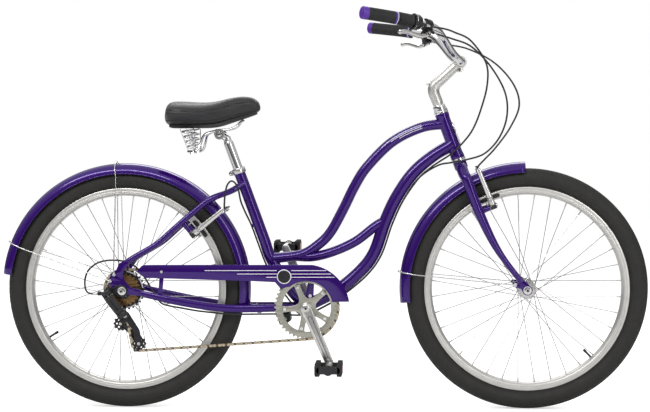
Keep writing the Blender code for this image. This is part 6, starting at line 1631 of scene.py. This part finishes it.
def makeSpring(word, foot, top, angle):
    # a cone of coils: foot + share (top - foot) + r(share) (cos, sin) of the turn, with a wire each side
    spring = Piece("saddleSpring" + word.title())
    share = np.linspace(0, 1, 260)
    coil = foot + np.outer(share, top - foot)
    coil[:, 2] = foot[2] + 0.0026 + (top[2] - foot[2] - 0.0048) * share
    radius = 0.0095 + 0.0075 * share
    turn = angle * share
    coil += np.column_stack((radius * np.cos(turn), radius * np.sin(turn), 0 * share))
    spring.put(tube(coil, saddleShape["wire"], 12, seed=upward), "chrome")
    for end in (-1, 1):
        low, high = foot + point(end * 0.0105, 0, 0.001), top + point(end * 0.0205, 0, -0.0016)
        spring.put(tube(curveThrough([low, low * 0.5 + high * 0.5, high], 0.004), 0.0012, 8), "chrome")
    between = ("seatpost_unit", "saddle", tuple(foot), tuple(top))
    spring.done(between, "saddle_spring_" + word, slot="plated_steel")


def makeRails():
    # one wire from the left spring forward round the nose and back, spread as the knots give
    rails = Piece("saddleRails")
    springY = saddleShape["springY"]
    view = [
        (0.042, 0.04), (0.031, 0.0285), (0.013, 0.0205), (-0.018, 0.0175), (-0.054, 0.007), (-0.065, -0.018),
        (-0.072, -0.036), (-0.086, -0.0435)
    ]
    spread = (0.01, 0.021, 0.021, 0.021, 0.036, 0.052, springY, springY)
    left = [saddleClamp + point(x, y, z) for (x, z), y in zip(view, spread)]
    nose = saddleClamp + point(0.049, 0, 0.044)
    run = curveThrough([spot * (1, -1, 1) for spot in reversed(left)] + [nose] + left, 0.003)
    rails.put(tube(run, 0.0035, 16, seed=upward), "chrome")
    seat = [(0.0105, 0), (0.0125, -0.0008), (0.0125, -0.0056), (0.0105, -0.0065)]
    for word, side in sides.items():
        foot = saddleClamp + point(-0.089, side * springY, -0.0368)
        rails.put(turned(foot, seat, upward, 28), "chrome")
        rails.put(turned(foot - 0.0064 * upward, [(0.0055, 0), (0.0055, -0.004)], upward, 6), "chrome")
        top = saddleClamp + point(-0.101, side * springY, 0.0235)
        makeSpring(word, foot, top, side * 2 * np.pi * saddleShape["coils"])
    rails.done("seatpost_unit", "saddle_rails", slot="plated_steel")


def saddleAt(share, angle):
    # at a share of the length, z runs from the edge up to the crown and the width follows a flattened arc
    rows = curveThrough(saddleRows, 0.003)
    marks = np.arange(len(rows))
    x, half, top, edge = (np.interp(share * marks[-1], marks, column) for column in rows.T)
    side = np.sign(np.cos(angle)) * np.abs(np.cos(angle)) ** 0.72
    lift = np.sin(angle)
    low = edge + 0.006
    draw = 1.0 - 0.1 * np.maximum(0, -lift)
    return np.stack((x + 0 * lift, half * side * draw, low + (top - low) * (0.5 + 0.5 * lift)), axis=-1)


def makeCushion():
    around, along = 96, 110
    angle = np.linspace(0, 2 * np.pi, around, endpoint=False)[None]
    share = np.linspace(0, 1, along)[:, None]
    grid = saddleAt(share, angle)
    # a shallow channel down the middle and a crease that sweeps along each side
    over = np.clip(np.sin(angle), 0, 1) ** 2
    reach = np.clip(np.sin((share - 0.06) / 0.62 * np.pi), 0, 1) * (share < 0.68)
    dip = np.exp(-((grid[..., 1] / 0.012) ** 2)) * reach
    grid[..., 2] -= saddleShape["channel"] * dip * over
    lineAt = 0.16 + 0.5 * np.abs(share - 0.35)
    ends = np.clip((share - 0.04) / 0.08, 0, 1) * np.clip((0.95 - share) / 0.1, 0, 1)
    crease = np.exp(-(((np.sin(angle) - lineAt) / 0.042) ** 2)) * ends
    out = grid - grid.mean(axis=1, keepdims=True)
    out /= np.linalg.norm(out, axis=2, keepdims=True)
    grid -= saddleShape["crease"] * crease[..., None] * out
    cushion = Piece("saddleCushion").put(skin(grid + saddleClamp), "vinyl")
    hem = saddleAt(share, np.full((along, 1), -0.62))[:, 0] + saddleClamp
    for side in (1, -1):
        cushion.put(tube(hem[6:-3] * (1, side, 1) + (0, -side * 0.0006, 0), 0.0016, 8), "padRubber")
    item = cushion.done("saddle", "saddle_cushion", slot="saddle_cover", smooth=60)


def makeSaddleBase():
    # a shell of one section along the saddle, wide as the cushion's underside
    base = Piece("saddleBase")
    rows = saddleRows[1:-1]
    fine = curveThrough(np.column_stack((rows[:, 0] * 0.97, rows[:, 1] * 0.624, rows[:, 3])), 0.004)
    half = np.array([(0.96, 0), (1, 0.0012), (1, 0.0098), (0.9, 0.0088), (0.7, 0.007), (0.4, 0.006)])
    wide, high = np.vstack((half, half[::-1] * (-1, 1))).T[:, None]
    x, y, z = fine.T[..., None]
    base.put(skin(saddleClamp + np.stack((x + 0 * wide, y * wide, z + high), axis=-1)), "blackResin")
    cup = [(0.015, 0.0004), (0.019, -0.0004), (0.019, 0.003), (0.012, 0.0034)]
    for side in (1, -1):
        place = saddleClamp + point(-0.101, side * saddleShape["springY"], 0.0238)
        base.put(turned(place, cup, upward, 36), "blackMetal")
    base.done("saddle", "saddle_base", slot="black_plastic")


makeCollar()
makePost()
makeRails()
makeCushion()
makeSaddleBase()
print("saddle covered")


def putIn(name, data, right, up, back, place):
    # an object turned to three axes of its own
    holder = bpy.data.objects.new(name, data)
    matrix = np.eye(4)
    matrix[:3] = np.column_stack((right, up, back, place))
    holder.matrix_world = matrix.T.tolist()
    bpy.context.scene.collection.objects.link(holder)
    return holder


cameraView = {"yaw": -0.0582, "pitch": -0.0488, "roll": -0.0052, "lens": 90, "place": (0.826, -4.531, 0.788)}


def makeCamera():
    # the photograph's view, fitted to the wheels' and frame's places in it
    yaw, pitch, roll = cameraView["yaw"], cameraView["pitch"], cameraView["roll"]
    ahead = point(math.sin(yaw) * math.cos(pitch), math.cos(yaw) * math.cos(pitch), math.sin(pitch))
    right = point(math.cos(yaw), -math.sin(yaw), 0)
    top = np.cross(right, ahead)
    across = right * math.cos(roll) + top * math.sin(roll)
    over = -right * math.sin(roll) + top * math.cos(roll)
    lens = bpy.data.cameras.new("photoView")
    lens.lens, lens.sensor_width, lens.sensor_fit = cameraView["lens"], 36.0, "HORIZONTAL"
    lens.clip_end = 50
    bpy.context.scene.camera = putIn("photoView", lens, across, over, -ahead, cameraView["place"])


def addLamp(name, place, target, size, power):
    lamp = bpy.data.lights.new(name, "AREA")
    lamp.shape, lamp.size, lamp.size_y, lamp.energy = "RECTANGLE", size[0], size[1], power
    back = unit(np.array(place, float) - np.array(target, float))
    right = unit(np.cross(upward, back))
    putIn(name, lamp, right, np.cross(back, right), back, place)


studio = {
    "key": 62, "fill": 22, "rim": 26, "floorGlow": 0.5, "air": 0.9,
    "sky": ((0.0, 0.3), (0.44, 0.16), (0.52, 0.1), (0.62, 0.34), (0.8, 0.85), (1.0, 1.0)),
}


def makeAir():
    # white to the camera; to the object a sky that brightens with height
    world = bpy.data.worlds.new("studioAir")
    bpy.context.scene.world = world
    world.use_nodes = True
    air = Recipe(world.node_tree)
    where = air.node("ShaderNodeTexCoord", out="Generated")
    height = air.node("ShaderNodeSeparateXYZ", None, {0: where}, out="Z")
    sky = air.node("ShaderNodeValToRGB", {"stops": studio["sky"]}, {0: height * 0.5 + 0.5})
    seen = air.node("ShaderNodeLightPath", out="Is Camera Ray")
    white = (1 / studio["air"], 1 / studio["air"], 1 / studio["air"], 1)
    mixed = air.node("ShaderNodeMix", {"data_type": "RGBA"}, {0: seen, 6: sky, 7: white}, out=2)
    back = air.tree.nodes["Background"]
    air.feed(back.inputs["Color"], mixed)
    air.feed(back.inputs["Strength"], studio["air"])


def makeStudio():
    addLamp("keyLamp", (-0.9, -2.6, 2.9), (0.4, 0, 0.5), (3.2, 0.5), studio["key"])
    addLamp("fillLamp", (2.6, -2.4, 1.5), (0.8, 0, 0.5), (0.45, 2.4), studio["fill"])
    addLamp("rimLamp", (0.6, 2.2, 2.6), (0.5, 0, 0.5), (2.4, 0.8), studio["rim"])
    makeAir()
    mesh = bpy.data.meshes.new("studioFloor")
    mesh.from_pydata([(-9, -7, 0), (11, -7, 0), (11, 9, 0), (-9, 9, 0)], [], [(0, 1, 2, 3)])
    floor = bpy.data.objects.new("studioFloor", mesh)
    bpy.context.scene.collection.objects.link(floor)
    pale = Finish("paleFloor", Specular_IOR_Level=0.0, Emission_Strength=1.0)
    pale.colour(pale.noise(2), (0.8, 0.8, 0.8), (0.82, 0.82, 0.82))
    pale.rough(pale.noise(3) * 0.1 + 0.85)
    seen = pale.node("ShaderNodeLightPath", out="Is Camera Ray")
    pale.feed(pale.shader.inputs["Emission Color"], pale.blend(seen, (0, 0, 0), [studio["floorGlow"]] * 3))
    mesh.materials.append(pale.material)
    bpy.context.scene.view_settings.view_transform = "Standard"


makeCamera()
makeStudio()
print("studio lit")
